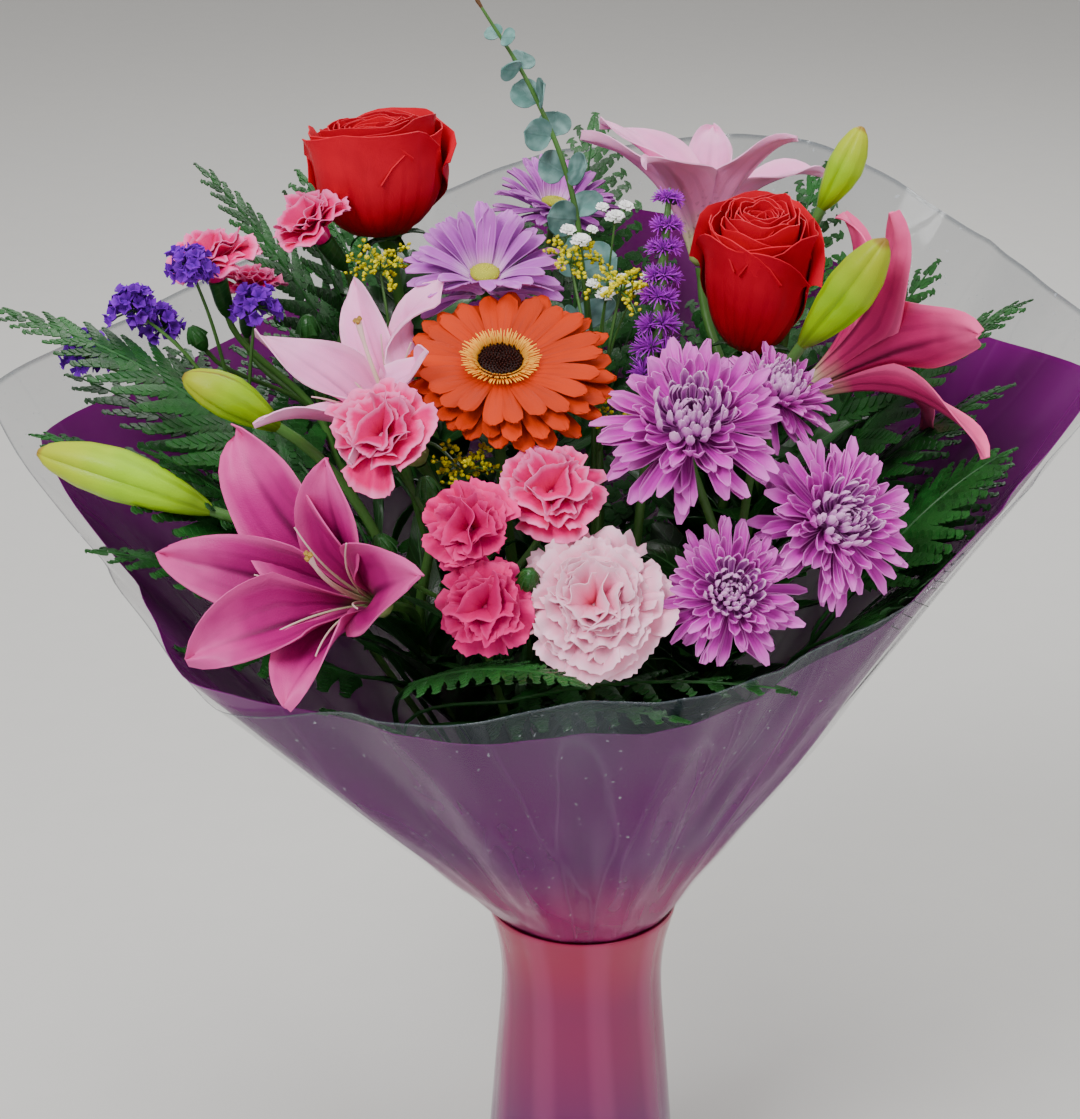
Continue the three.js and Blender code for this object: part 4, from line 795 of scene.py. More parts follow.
def shaded(name, tree, colours, values, roughness, bump, own):
    """A material whose colour, roughness and bump come from a petal's or a leaf's shading."""
    material, g, shader = blank(name)
    group = g.add("ShaderNodeGroup", node_tree=tree)
    g.give(group, colours)
    g.give(group, {key.replace("_", " ").title(): value for key, value in values.items()})
    height = group.outputs["Height"]
    g.give(
        shader, {"Base Color": group.outputs["Color"], "Roughness": g.span(height, 0.1, *roughness), **own})
    bumped(g, shader, height, bump, 0.0006)
    return material


def petal_finish(name, colours, roughness=0.5, bump=0.35, soft=0.0, **values):
    """Petal material; colours are root, middle, tip and rim."""
    own = {
        "Specular IOR Level": 0.2, "Subsurface Weight": soft, "Subsurface Radius": (0.004, 0.002, 0.0015),
        "Subsurface Scale": 0.6,
    }
    colours = dict(zip(("Root", "Middle", "Tip", "Rim"), colours))
    rough = (0.7, roughness - 0.08, roughness + 0.1)
    return shaded(name, petal_effect(), colours, values, rough, bump, own)


def leaf_finish(name, dark, light, vein, roughness=0.42, **values):
    """Material of leaves and stems."""
    colours = {"Dark": dark, "Light": light, "Vein Colour": vein}
    rough = (0.9, roughness - 0.1, roughness + 0.14)
    return shaded(name, leaf_effect(), colours, values, rough, 0.5, {"Specular IOR Level": 0.4})


# Settings


def tint(name, colour, description):
    return bpy.props.FloatVectorProperty(
        name=name, description=description, subtype="COLOR", size=3, min=0, max=1, default=paint(colour))


def size(name, value, description):
    return bpy.props.FloatProperty(name=name, description=description, default=value, unit="LENGTH")


def share(name, value, description):
    return bpy.props.FloatProperty(
        name=name, description=description, default=value, subtype="FACTOR", min=0, max=1)


class BouquetVaseSettings(bpy.types.PropertyGroup):
    lip_colour: tint("Lip", "b81c54", "Colour of the glass under its lip")
    waist_colour: tint("Waist", "9c105e", "Colour of the glass at the waist")
    foot_colour: tint("Foot", "5c1c74", "Colour of the glass near the foot")
    clearness: share("Clearness", 0.3, "How much of what stands in the glass shows through it")
    facets: bpy.props.IntProperty(name="Sides", description="Sides of the turned glass", default=96, min=16)


class BouquetFilmSettings(bpy.types.PropertyGroup):
    thickness: size("Thickness", 0.0004, "Thickness of both films")
    pink: tint("Pink film", "70096c", "Colour of the pink film")
    neck: tint("Neck", "b01070", "Colour of the pink film where it gathers above the vase")
    clear: tint("Clear film", "505c66", "Colour of the clear film")
    pink_cover: share("Pink cover", 0.8, "How much the pink film hides")
    clear_cover: share("Clear cover", 0.05, "How much the clear film hides")


class BouquetBloomSettings(bpy.types.PropertyGroup):
    rose: tint("Rose", "c40024", "Rose petals")
    lily: tint("Lily", "a80c70", "Deep pink lily petals")
    rose_lily: tint("Rose lily", "cc2c70", "Petals of the lily on the right")
    pale_lily: tint("Pale lily", "ff9fd8", "Pale pink lily petals")
    gerbera: tint("Gerbera", "c03200", "Gerbera rays")
    pale_carnation: tint("Pale carnation", "ff9cc0", "Large carnation's petals")
    carnation: tint("Spray carnation", "e60074", "Spray carnations' petals")
    chrysanthemum: tint("Chrysanthemum", "c828b8", "Chrysanthemum petals")
    daisy: tint("Daisy", "bc5cc4", "Daisy rays")
    liatris: tint("Liatris", "9c00b8", "Liatris florets")
    statice: tint("Statice", "6c00b0", "Statice florets")
    solidago: tint("Solidago", "d6cc00", "Solidago buds")
    petal_thickness: size("Petal thickness", 0.00045, "Thickness of a petal")


class BouquetFoliageSettings(bpy.types.PropertyGroup):
    leaf: tint("Leaf", "1c4c1a", "Broad leaves")
    fern: tint("Fern", "1e5620", "Fern fronds")
    stem: tint("Stem", "4c7a35", "Stems")
    bud: tint("Bud", "94c400", "Closed lily buds")
    eucalyptus: tint("Eucalyptus", "5d8f88", "Eucalyptus leaves")
    leaf_thickness: size("Leaf thickness", 0.0006, "Thickness of a leaf")


class BouquetStageSettings(bpy.types.PropertyGroup):
    floor: tint("Floor", "d9d8d4", "Floor")
    lens: bpy.props.FloatProperty(name="Lens", description="Focal length in millimetres", default=83.65)
    camera_height: size("Camera height", 0.9455, "Height of the camera")
    camera_distance: size("Camera distance", 1.2347, "Distance of the camera in front of the vase")


# Stems


def bezier(a, b, c, d, count):
    t = np.linspace(0, 1, count)[:, None]
    return (1 - t)**3 * a + 3 * (1 - t)**2 * t * b + 3 * (1 - t) * t * t * c + t**3 * d


def curve_between(start, start_dir, end, end_dir, count):
    start, end = np.asarray(start, float), np.asarray(end, float)
    reach = np.linalg.norm(end - start)
    return bezier(
        start, start + unit(start_dir) * reach * 0.35, end - unit(end_dir) * reach * 0.3, end, count)


def fern_rib(name):
    foot, tip, _, rise, _ = FERNS[name]
    a, c = np.array(foot, float), np.array(tip, float)
    b = (a + c) / 2 + [0, 0, rise]
    return lambda t: (1 - t)**2 * a + 2 * (1 - t) * t * b + t * t * c


@functools.lru_cache(None)
def stem_places():
    """Where each stem passes the vase's neck: wished towards its bloom, then pushed apart to the pitch."""
    ends = {name: HEADS[head][0] for name, (head, _, _) in SINGLES.items()}
    for rows in (FORKS, FERNS, {"liatris": LIATRIS}, SPRAYS, {"eucalyptus_tall": EUCALYPTUS_PATH}):
        ends.update({name: row[0] for name, row in rows.items()})
    p = np.array([[e[0], e[1]] for e in ends.values()], float)
    p *= (NECK_START / (np.array([e[2] for e in ends.values()]) - NECK_HEIGHT))[:, None]
    places = [list(q) for q in p]
    for _ in range(400):
        for i in range(len(places)):
            a = places[i]
            for j in range(i + 1, len(places)):
                b = places[j]
                x, y = a[0] - b[0], a[1] - b[1]
                length = math.hypot(x, y)
                if length < STEM_PITCH:
                    push = (STEM_PITCH - length) * 0.26 / max(length, 1e-9)
                    a[0] += x * push
                    a[1] += y * push
                    b[0] -= x * push
                    b[1] -= y * push
            length = math.hypot(*a)
            if length > NECK_ROOM:
                a[0] *= NECK_ROOM / length
                a[1] *= NECK_ROOM / length
    return dict(zip(ends, places))


def stem_line(name, end, end_dir, back=0.0):
    """From the vase's floor through the place in the neck to an end."""
    x, y = stem_places()[name]
    neck = np.array([x, y, NECK_HEIGHT])
    end, direction = np.asarray(end, float), unit(end_dir)
    join = end - direction * back
    rising = unit(unit(join - neck) + [0, 0, 0.35])
    foot = np.array([1.15 * x, 1.15 * y, VASE_FLOOR + GAP])
    low = foot + (neck - foot) * np.linspace(0, 1, 7)[:-1, None]
    return np.vstack([low, curve_between(neck, rising, join, direction, STEM_POINTS)])


def stalk(skin, path, radius, direction=None, calyx=(), end=None, sides=9, calyx_paint=0):
    """A stem with slight swellings; its calyx, if any, widens into the bloom's receptacle."""
    n = len(path)
    radii = radius * (1.06 - 0.16 * np.linspace(0, 1, n)) * (1 + 0.03 * np.sin(np.arange(n) * 1.7))
    skin.tube(path, radii, sides, 0, ribs=0.03, rib_count=4)
    if calyx:
        rows = [(calyx[0][0] + 1.5, radius * 0.85), (calyx[0][0], radius * 0.9), *calyx[1:]]
        line = np.array([np.asarray(end) - unit(direction) * back for back, _ in rows])
        both = spline(np.column_stack([line, [r for _, r in rows]]), 4 * len(rows))
        skin.tube(both[:, :3], np.maximum(both[:, 3], 0.5), 16, calyx_paint, ribs=0.03, rib_count=5)


def lily_bud(skin, fork, fork_dir, base, tip, radius, ripe):
    """A closed bud of six ribbed tepals on its stalk."""
    base, tip = np.array(base, float), np.array(tip, float)
    direction = unit(tip - base)
    length = np.linalg.norm(tip - base)
    path = curve_between(fork, fork_dir, base + direction * 0.03 * length, direction, 12)
    skin.tube(path, np.linspace(2.3, 2.7, 12), 10, 0, ribs=0.04)
    t = np.linspace(0.0, 1.0, 20)
    outline = np.interp(
        t, [0, 0.06, 0.18, 0.36, 0.55, 0.75, 0.9, 0.975, 1],
        [0.2, 0.36, 0.6, 0.86, 1, 0.87, 0.58, 0.34, 0.14])
    turns = np.linspace(0, 2 * np.pi, 36, endpoint=False)
    basis, _ = stance(base, direction)
    groove = np.abs(np.sin(1.5 * turns)) ** 0.5
    small = np.abs(np.sin(3 * turns)) ** 0.7
    rings = []
    for v, r in zip(t, outline):
        lobes = 1 - (0.11 * (1 - groove) + 0.035 * (1 - small)) * smooth(v * 4) * (1 + 0.5 * v)
        flat = [way(turns) * lobes * r * radius for way in (np.cos, np.sin)]
        ring = np.stack([*flat, np.full_like(turns, v * length)], -1)
        ring[:, 0] += radius * 0.16 * math.sin(math.pi * v)
        rings.append(ring @ basis.T + base)
    skin.rings(np.array(rings), 1, ripe)


def carnation_bud(skin, fork, fork_dir, tip, radius):
    """A small closed bud, its green calyx parting in five teeth round the folded petals."""
    direction = unit(unit(tip - fork) + [0, 0, 0.6])
    base = tip - direction * 3.2 * radius
    path = curve_between(fork, fork_dir, base, direction, 10)
    skin.tube(path, 1.2, 7, 0)
    place = stance(base, direction)
    outline = [(0.3, 0), (0.55, 0.25), (0.86, 0.9), (1, 1.7), (0.9, 2.4), (0.6, 2.9), (0.25, 3.15)]
    skin.lathe([(radius * a, radius * b) for a, b in outline], 14, place, 2, 0.9)
    for k in range(5):
        shape = petal(
            72 * k, 0.95 * radius, 1.5 * radius, 1.7 * radius, (-4, -18, -34), 0.5 * radius,
            lambda t: 1.02 - 0.9 * t, cup=-0.4)
        skin.blade(shape, 6, 4, 0.4, 2, place, shade=1.0)


def leaf(skin, at, azimuth, tilt, length, width, droop, lobes=0, wave=1.2):
    """A pointed leaf pressed inside the wrapper where it would pass through it."""
    def outline(t):
        plain = leaf_outline(t)
        if lobes:
            return plain * (0.78 + 0.22 * np.cos(2 * np.pi * lobes * t) ** 2) + 0.02
        return plain * (1 + 0.03 * np.sin(30 * t))

    shape = petal(
        azimuth, 0.4, 0, length, (tilt - 12, tilt + droop * 0.3, tilt + droop), width, outline, cup=0.28,
        edge=wave, edge_waves=2.2, phase=azimuth, rib=-0.5)
    skin.blade(shape, 12, 4, 0.6, 2, stance(at, [0, 0, 1]), film=True)


def foliage(skin, path, kind, count, low, high):
    """Leaves up a stem, turned by the golden angle, of the shape of its plant."""
    sizes = {
        "lily": dict(length=96, width=10.5, tilt=38, droop=34),
        "rose": dict(length=50, width=16, tilt=48, droop=38, lobes=6),
        "chrysanthemum": dict(length=56, width=17, tilt=42, droop=34, lobes=4, wave=2.2),
        "carnation": dict(length=78, width=3.2, tilt=24, droop=46),
    }
    row = dict(sizes[kind])
    length, width, tilt = row.pop("length"), row.pop("width"), row.pop("tilt")
    turn = skin.vary(0, 360)
    for k in range(count):
        height = low + (high - low) * (k + skin.draw.random() * 0.6) / count
        scale = skin.vary(0.75, 1.1)
        leaf(
            skin, point_at(path, height), turn + GOLDEN * k, tilt + skin.vary(-10, 12),
            length * scale, width * scale, **row)


def sepals(skin, at, faces, radius, length, width):
    for k in range(5):
        shape = petal(
            72 * k + 10, radius - 1.2, -2.5, length, (68, 115, 158), width, lambda t: 1.02 - 0.96 * t,
            cup=0.3, edge=0.5, phase=k)
        skin.blade(shape, 7, 3, 0.7, 2, stance(at, faces))


# Blooms


def rose(skin, at, faces, radius, height, spin, thick, front_rise, fullness):
    """A spiral of cupped petals; the outer ones are broad and roll back at both sides of a pointed lip."""
    place = stance(at, faces, spin)
    radius, height = radius * fullness[0], height * fullness[1]
    # A bloom whose front petals stand high holds them closer, so that none shows through another
    calm = 1 - 2.4 * front_rise
    heart_line = [
        (2, 0.6), (6.6, 0.8), (7.6, 5), (7, 12), (5, height * 0.5), (3.2, height * 0.82),
        (1, height * 0.86)]
    skin.lathe(heart_line, 14, place, shade=0.2)
    vary = skin.vary
    for k in range(ROSE_PETALS):
        f = k / (ROSE_PETALS - 1)
        reach = radius * (0.12 + 0.8 * f**0.9) * (1 + calm * vary(-0.03, 0.03))
        span = 120 - 46 * f**0.8
        top = height * (
            0.9 + 0.06 * math.sin(math.pi * min(1, 1.2 * f)) - 0.02 * f
            + vary(-0.03, 0.025) * (0.3 + f))
        roll = 0.9 + 5.2 * f**2.2 * vary(0.7, 1.15) * (1 - 1.6 * front_rise)
        low, heart = 10 - 8 * f, 3.2 + 4.2 * f
        closing = 0.22 * (1 - f) * reach
        azimuth = GOLDEN * k + vary(-16, 16)
        wave, crumple = vary(0, 6), vary(0.7, 1.4) * calm
        point = vary(0.2, 0.9) * f
        fold = (0.5 + 6 * front_rise) * f * vary(0.95, 1.05)
        plain_top = top
        top += height * front_rise * f * max(-math.sin(math.radians(azimuth + spin)), 0)
        fullest = (1.25 + 0.35 * f) * top / plain_top

        def shape(t, s):
            a = np.radians(azimuth + s * span * (0.42 + 0.58 * np.sin(np.pi * np.minimum(t, 0.8) / 1.6)))
            u = np.clip((t - 0.7) / 0.3, 0, 1)
            lip = roll * (0.8 + 0.35 * s * s)
            swell = np.sin(np.minimum(fullest * t, 1) * np.pi / 2) ** (0.8 - 0.42 * f)
            out = heart + (reach - heart) * swell - closing * t**3
            out = out + lip * u**1.6 + calm * (0.06 * reach * s + 0.6 * np.abs(s) ** 5 * t * (1 + 2 * f))
            out = out + crumple * (0.7 + 0.8 * f) * t * (
                0.8 * np.sin(4 * s + wave) + 0.5 * np.sin(9 * s + 5 * t + wave))
            out = out + fold * t * (np.cos(5 * a + 2 * f) + 0.6 * np.cos(8 * a - 3 * f))
            up = low + (top - low) * t - top * (0.05 * s * s + 0.2 * s**6) * t * t * f - 0.7 * lip * u**2.4
            up = up + crumple * np.sin(7 * s + wave) * u * (0.7 + f) + point * np.exp(-((s / 0.4) ** 2)) * u
            return turned(out, a, up)

        skin.blade(shape, 13, 14, thick, 0, place)


def lily(skin, at, faces, length, spin, thick, tepals, breadth, rooms):
    """Six recurved tepals, three broad ones over three narrow ones, with ruffled sides and a sunk rib."""
    place = stance(at, faces, spin)
    skin.lathe([(1, 0.4), (3.2, 0.5), (6.6, 4), (6.4, 9), (3.2, 11.6), (1, 11.8)], 12, place, 1, 0.1)
    vary = skin.vary
    for k, (turn, opening, share_of_length) in enumerate(tepals):
        inner = k % 2 == 0
        bend = [angle * opening for angle in (16, 28, 50, 74, 90, 122 + vary(-8, 8))]
        shape = petal(
            60 * k + turn, 3.4 if inner else 5.2, 3.5, length * share_of_length
            * (1.02 if inner else 0.98), bend, breadth * length * (0.225 if inner else 0.18), lily_outline,
            cup=0.26, edge=4.2 if inner else 3.0, edge_waves=vary(1.4, 2.2),
            phase=vary(0, 6), wrap=62 if inner else 48, rib=1.9, skew=vary(-7, 7), fan=1.2,
            fan_waves=1.6)
        skin.blade(shape, 22, 12, thick, 0, place, rooms=rooms)


def lily_stamens(skin, at, faces, length, spin):
    place = stance(at, faces, spin)
    for k in range(7):
        pistil = k == 6
        shape = petal(
            60 * k + 30, 0.0 if pistil else 1.6, 11.5, length * (0.72 if pistil else 0.6),
            (4, 14, 30) if pistil else (10, 26, 50), 1, lambda t: 1 + 0 * t)
        t = np.linspace(0, 1, 14)
        line = shape(t, 0 * t) @ place[0].T + place[1]
        if pistil:
            skin.tube(line, np.interp(t, [0, 0.9, 0.95, 1], [1.3, 1.0, 2.0, 1.7]), 9, 0, 0.9)
            for turn in (0, 120, 240):
                skin.ball(on_disc((place[0], line[-1]), 1.3, turn, 0.6), 1.5, 1, 0.5)
        else:
            skin.tube(line, np.interp(t, [0, 1], [0.85, 0.4]), 7, 0, 0.4)


def gerbera_rays(skin, thick):
    at, faces, radius = GERBERA
    place = stance(at, faces)
    skin.lathe([(1, 0.4), (8.6, 0.5), (12.2, 3.8), (11.8, 8.6), (1, 8.8)], 24, place, 0, 0.3)
    vary = skin.vary
    for count, bend, reach, rise, turn in GERBERA_LAYERS:
        for k in range(count):
            azimuth = turn + 360 * k / count + vary(-2.5, 2.5)
            length = radius * reach * (1 + 0.12 * math.cos(math.radians(azimuth))) * vary(0.95, 1.03)
            shape = petal(
                azimuth, 8.8, rise, length, tuple(b + vary(-5, 5) for b in bend),
                5.9 * vary(0.9, 1.08), ray_outline, cup=-0.16, fan=0.35, fan_waves=3.2,
                phase=vary(0, 6), rib=0.25, rim=lambda s: 1 - 0.02 * np.cos(9 * s))
            skin.blade(shape, 9, 6, thick, 0, place)


def disc_florets(skin, at, faces, count, edge, height, size, length):
    """Florets spread over a disc by the golden angle; height depends on the share of its radius."""
    place = stance(at, faces)
    for k in range(count):
        r = edge * math.sqrt((k + 0.5) / count)
        skin.ball(on_disc(place, r, GOLDEN * k, height(r / edge)), size, 0, skin.draw.random(), faces, length)


def gerbera_disc(skin):
    """Dark domed disc of tight florets inside a brush of yellow ones."""
    at, faces, _ = GERBERA
    place = stance(at, faces)
    skin.lathe([(1, 9.3), (10.4, 9.35), (11.6, 10.6), (9, 12.6), (4, 12.0), (1, 11.6)], 32, place, 0, 0.1)
    disc_florets(
        skin, at, faces, 150, 10.6, lambda v: 11.9 + 1.1 * math.sin(math.pi * min(v, 0.8)), 0.62, 1.5)
    for ring, (count, root, length, bend) in enumerate(GERBERA_BRUSH):
        for k in range(count):
            shape = petal(
                360 * (k + 0.5 * ring) / count + skin.vary(-2, 2), root, 10.2 - 0.3 * ring,
                length * skin.vary(0.85, 1.1), bend, 0.5, lambda t: 1 - 0.75 * t * t, cup=0.3)
            skin.blade(shape, 4, 2, 0.3, 1, place, shade=ring / 3 + skin.vary(0, 0.3))


def carnation(skin, at, faces, radius, thick, count, breadth, rows):
    """Broad fan-shaped petals with toothed, ruffled rims, upright in the heart and laid back outside."""
    place = stance(at, faces)
    r = radius
    skin.lathe(
        [(1, 0.3), (4.4, 0.4), (0.2 * r, 0.14 * r), (0.16 * r, 0.34 * r), (0.05 * r, 0.4 * r)], 10, place,
        0, 0.1)
    vary = skin.vary
    for k in range(count):
        f = (k + 0.5) / count
        tilt = 22 + 72 * f**0.7 + vary(-12, 12)
        length = r * (0.5 + 0.42 * f) * vary(0.88, 1.06)
        teeth, notch = vary(5.2, 7.2), vary(0, 6)

        def rim(s):
            saw = np.abs(np.mod(teeth * s + notch, 1) - 0.5) * 2
            return 1 - 0.2 * s * s - 0.045 * saw - 0.05 * np.cos(2.3 * s + notch)

        shape = petal(
            GOLDEN * k + vary(-18, 18), 0.1 * r * f, r * (0.34 - 0.26 * f), length,
            (tilt * 0.3, tilt * 0.85, tilt * 1.15 + vary(0, 24)),
            r * breadth * vary(0.85, 1.15), fan_outline, cup=0.3 * (1 - f),
            fan=r * vary(0.04, 0.085), fan_waves=vary(1.8, 3.2), phase=vary(0, 6),
            edge=0.07 * r, edge_waves=vary(1.0, 1.8), rim=rim, skew=vary(-0.1, 0.1) * r)
        # Inner petals take a lower shade than outer ones: painted shade in the bloom's heart, with a random
        # spread on top
        skin.blade(shape, rows, 22, thick, 0, place, shade=0.2 + 0.7 * f + vary(-0.15, 0.1))


def chrysanthemum(skin, at, faces, radius, thick):
    """Spoon-shaped petals: incurved and pale in the heart, spread and darker outside."""
    place = stance(at, faces, skin.vary(0, 90))
    r = radius
    skin.lathe(
        [(1, 0.3), (5.3, 0.4), (0.24 * r, 0.12 * r), (0.22 * r, 0.26 * r), (0.12 * r, 0.36 * r),
            (1, 0.38 * r)], 12, place, 1, 0.2)
    vary = skin.vary
    for k in range(CHRYSANTHEMUM_PETALS):
        f = (k + 0.5) / CHRYSANTHEMUM_PETALS
        if f < HEART_END:
            g = f / HEART_END
            bend, length = (8 + 46 * g, 20 + 20 * g, -46 + 26 * g), r * (0.38 + 0.24 * g)
            root, rise, width = 0.02 * r + 0.15 * r * g, 0.3 * r - 0.08 * r * g, (0.034 + 0.022 * g) * r
        elif f < MIDDLE_END:
            g = (f - HEART_END) / (MIDDLE_END - HEART_END)
            bend, length = (50 + 8 * g, 46 + 22 * g, -10 + 60 * g), r * (0.6 + 0.12 * g)
            root, rise, width = 0.17 * r, 0.23 * r - 0.05 * r * g, 0.068 * r
        else:
            g = (f - MIDDLE_END) / (1 - MIDDLE_END)
            bend, length = (60 + 24 * g, 66 + 32 * g, 56 + 48 * g), r * (0.76 + 0.12 * g)
            root, rise, width = 0.17 * r, 0.18 * r - 0.12 * r * g, 0.074 * r
        loose = 6 + 22 * f
        bend = tuple(b + vary(-0.8, 1) * loose for b in bend)
        shape = petal(
            GOLDEN * k + vary(-12, 12), root, rise, length * vary(0.78, 1.1), bend,
            width * vary(0.8, 1.2), spoon_outline, cup=0.8 if f < MIDDLE_END else 0.6,
            skew=vary(-7, 7) * f, fan=0.3, fan_waves=2.1, phase=vary(0, 6))
        heart = 1 if f < HEART_END else 0
        skin.blade(shape, 7, 4, thick * 0.9, heart, place, shade=0.2 + 0.7 * skin.draw.random())


def daisy_rays(skin, at, faces, radius, thick, rooms):
    place = stance(at, faces)
    skin.lathe([(1, 0.3), (5.3, 0.4), (8.2, 2.9), (7.8, 5.7), (1, 5.8)], 16, place, 0, 0.2)
    vary = skin.vary
    for count, bend, reach, rise, turn in DAISY_LAYERS:
        for k in range(count):
            azimuth = turn + 360 * k / count + vary(-5, 5)
            upright = 44 * max(math.sin(math.radians(azimuth)), 0)
            shape = petal(
                azimuth, 6.4, rise, radius * reach * vary(0.9, 1.06),
                tuple(b - upright + vary(-12, 12) for b in bend),
                radius * 0.105 * vary(0.9, 1.1), ray_outline, cup=0.3, rib=-0.5,
                skew=vary(-4, 4), fan=0.5, fan_waves=2.2, phase=vary(0, 6))
            skin.blade(shape, 9, 5, thick, 0, place, rooms=rooms)


def daisy_disc(skin, at, faces):
    place = stance(at, faces)
    skin.lathe([(1, 6.3), (7.2, 6.35), (7.3, 7.4), (6, 8.8), (3, 9.6), (1, 9.8)], 24, place, 0, 0.3)
    disc_florets(skin, at, faces, 120, 7.2, lambda v: 9.6 - 2.2 * v**2, 0.52, 1.3)


# Sprays and fronds


def frond(skin, foot, tip, width, rise, pairs, thick, coarse, pressed=False):
    """A frond of leaflets; each is a rib with broad slanting lobes that touch one another."""
    foot, tip = np.array(foot, float), np.array(tip, float)
    middle = (foot + tip) / 2 + [0, 0, rise]
    steps = np.linspace(0, 1, 30)
    t = steps[:, None]
    line = (1 - t)**2 * foot + 2 * ((1 - t) * t) * middle + t**2 * tip
    if pressed:
        line = inside_film(line, 12 + 0.25 * width * (1 - steps))
    tangents = np.gradient(line, axis=0)
    skin.tube(line, np.interp(steps, [0, 1], [1.3, 0.45]), 7, 0, 0.5)
    for k in range(2 * pairs + 1):
        last = k == 2 * pairs
        side = 1 if k % 2 else -1
        t = min(0.02 + 0.97 * ((k // 2) + 0.28 * (k % 2)) / pairs, 0.985)
        at = at_share(line, t)
        along = unit(at_share(tangents, t))
        across = unit(np.cross(along, [0, 0, 1]))
        up = np.cross(across, along)
        reach = width * 1.08 * (1 - 0.84 * t) * (0.82 if k < 2 else 1) * skin.vary(0.9, 1.05)
        lean = math.radians(62 - 24 * t + skin.vary(-4, 4))
        head = along if last else unit(across * side * math.sin(lean) + along * math.cos(lean))
        if last:
            reach = 10
        flank = unit(np.cross(head, up))
        pitch = (2.6 + 2.4 * reach / 60) * coarse
        lobes = max(3, int(reach / pitch))
        droop = skin.vary(0.05, 0.14)
        twist = skin.vary(-0.25, 0.25)
        shade = skin.draw.random()
        ribs = np.array([at + head * reach * v - up * droop * reach * v * v for v in np.linspace(0, 1, 4)])
        skin.tube(ribs, np.linspace(0.5, 0.18, 4), 3, 0, shade)
        for m in range(2 * lobes + 1):
            v = min((m // 2 + 0.3 + 0.3 * (m % 2)) / lobes, 0.96)
            lobe_side = 1 if m % 2 else -1
            root = at + head * reach * v - up * droop * reach * v * v
            size_here = (0.2 * reach + 2.2) * (1 - 0.78 * v)
            half = pitch * (0.66 - 0.2 * v)
            slant = unit(flank * lobe_side * (0.75 if m < 2 * lobes else 0) + head * (0.66 + 0.3 * v))
            normal = unit(up + flank * twist)

            def shape(t2, s):
                outline = 0.7 + 0.5 * np.sin(np.pi * np.minimum(t2 + 0.1, 1)) - 0.66 * t2**3
                edge = half * outline * (1 + 0.12 * np.cos(4.5 * np.pi * t2))
                side_way = unit(np.cross(normal, slant))
                lift = 0.14 * size_here * (0.4 - t2 * t2) - 0.16 * half * s * s
                return (
                    root + slant * (t2 * size_here)[..., None] + side_way * (s * edge)[..., None]
                    + normal * lift[..., None])

            skin.blade(shape, 3, 1, thick, 1, None, shade * 0.6 + 0.4 * skin.draw.random(), film=True)


def fern(skin, name, thick):
    """The fern's stalk, its main frond and the side fronds that fill the arrangement below it."""
    foot, tip, width, rise, pairs = FERNS[name]
    rib = fern_rib(name)
    direction = unit(rib(0.01) - rib(0))
    path = stem_line(name, rib(0) + direction * 8, direction)
    stalk(skin, path, 1.4, sides=7)
    main_lobes, side_lobes = BACK_LOBES if name.startswith("fern_back") else FRONT_LOBES
    frond(skin, foot, tip, width, rise, pairs, thick, main_lobes)
    for height, end, broad, count in SIDE_FRONDS.get(name, []):
        start = point_at(path, height)
        reach = np.linalg.norm(np.array(end) - start)
        low = start + (np.array(end) - start) * 0.3 + [0, 0, 0.06 * reach]
        skin.tube(curve_between(start, [0, 0, 1], low, np.array(end) - start, 8), 0.95, 6, 0, 0.5)
        frond(skin, low, end, broad, 0.07 * reach, count, thick, side_lobes, True)


def eucalyptus(skin, thick):
    path = spline(EUCALYPTUS_PATH, 40)
    low = unit(path[1] - path[0])
    stalk(skin, stem_line("eucalyptus_tall", path[0], low), 2.0)
    skin.tube(path, np.linspace(1.9, 0.75, 40), 9, 0)
    pairs = 8
    for k in range(pairs):
        t = 0.06 + 0.92 * k / pairs
        at = at_share(path, t)
        after = at_share(path, min(t + 0.02, 1))
        radius = 12.5 * (1 - 0.62 * k / pairs) * skin.vary(0.85, 1.08)
        axis = unit(after - at)
        for side in (-1, 1):
            turn = math.radians(skin.vary(-20, 20) + 48 * (-1) ** k)
            out = unit([side * math.cos(turn), side * math.sin(turn), 0] + axis * skin.vary(0.2, 0.9))
            face = unit(np.array([skin.vary(-0.9, 0.9), -1, skin.vary(-0.3, 1.2)]))
            face = unit(face - face.dot(out) * out)
            across = np.cross(face, out)

            def shape(t2, s):
                half = radius * (0.05 + 0.95 * np.sqrt(np.maximum(1 - (2 * t2 - 1) ** 2, 0)))
                lift = 0.14 * s * s * half + 0.08 * radius * np.sin(
                    3 * t2 + k) + 0.05 * radius * np.sin(4 * s + k)
                return (
                    at + out * (1 + 1.9 * radius * t2)[..., None] + across * (s * half)[..., None]
                    + face * lift[..., None])

            skin.blade(shape, 10, 7, thick, 1)
    skin.tube([path[-2], path[-1], path[-1] + unit(path[-1] - path[-2]) * 2.2], [0.8, 1.2, 0.5], 7, 2)


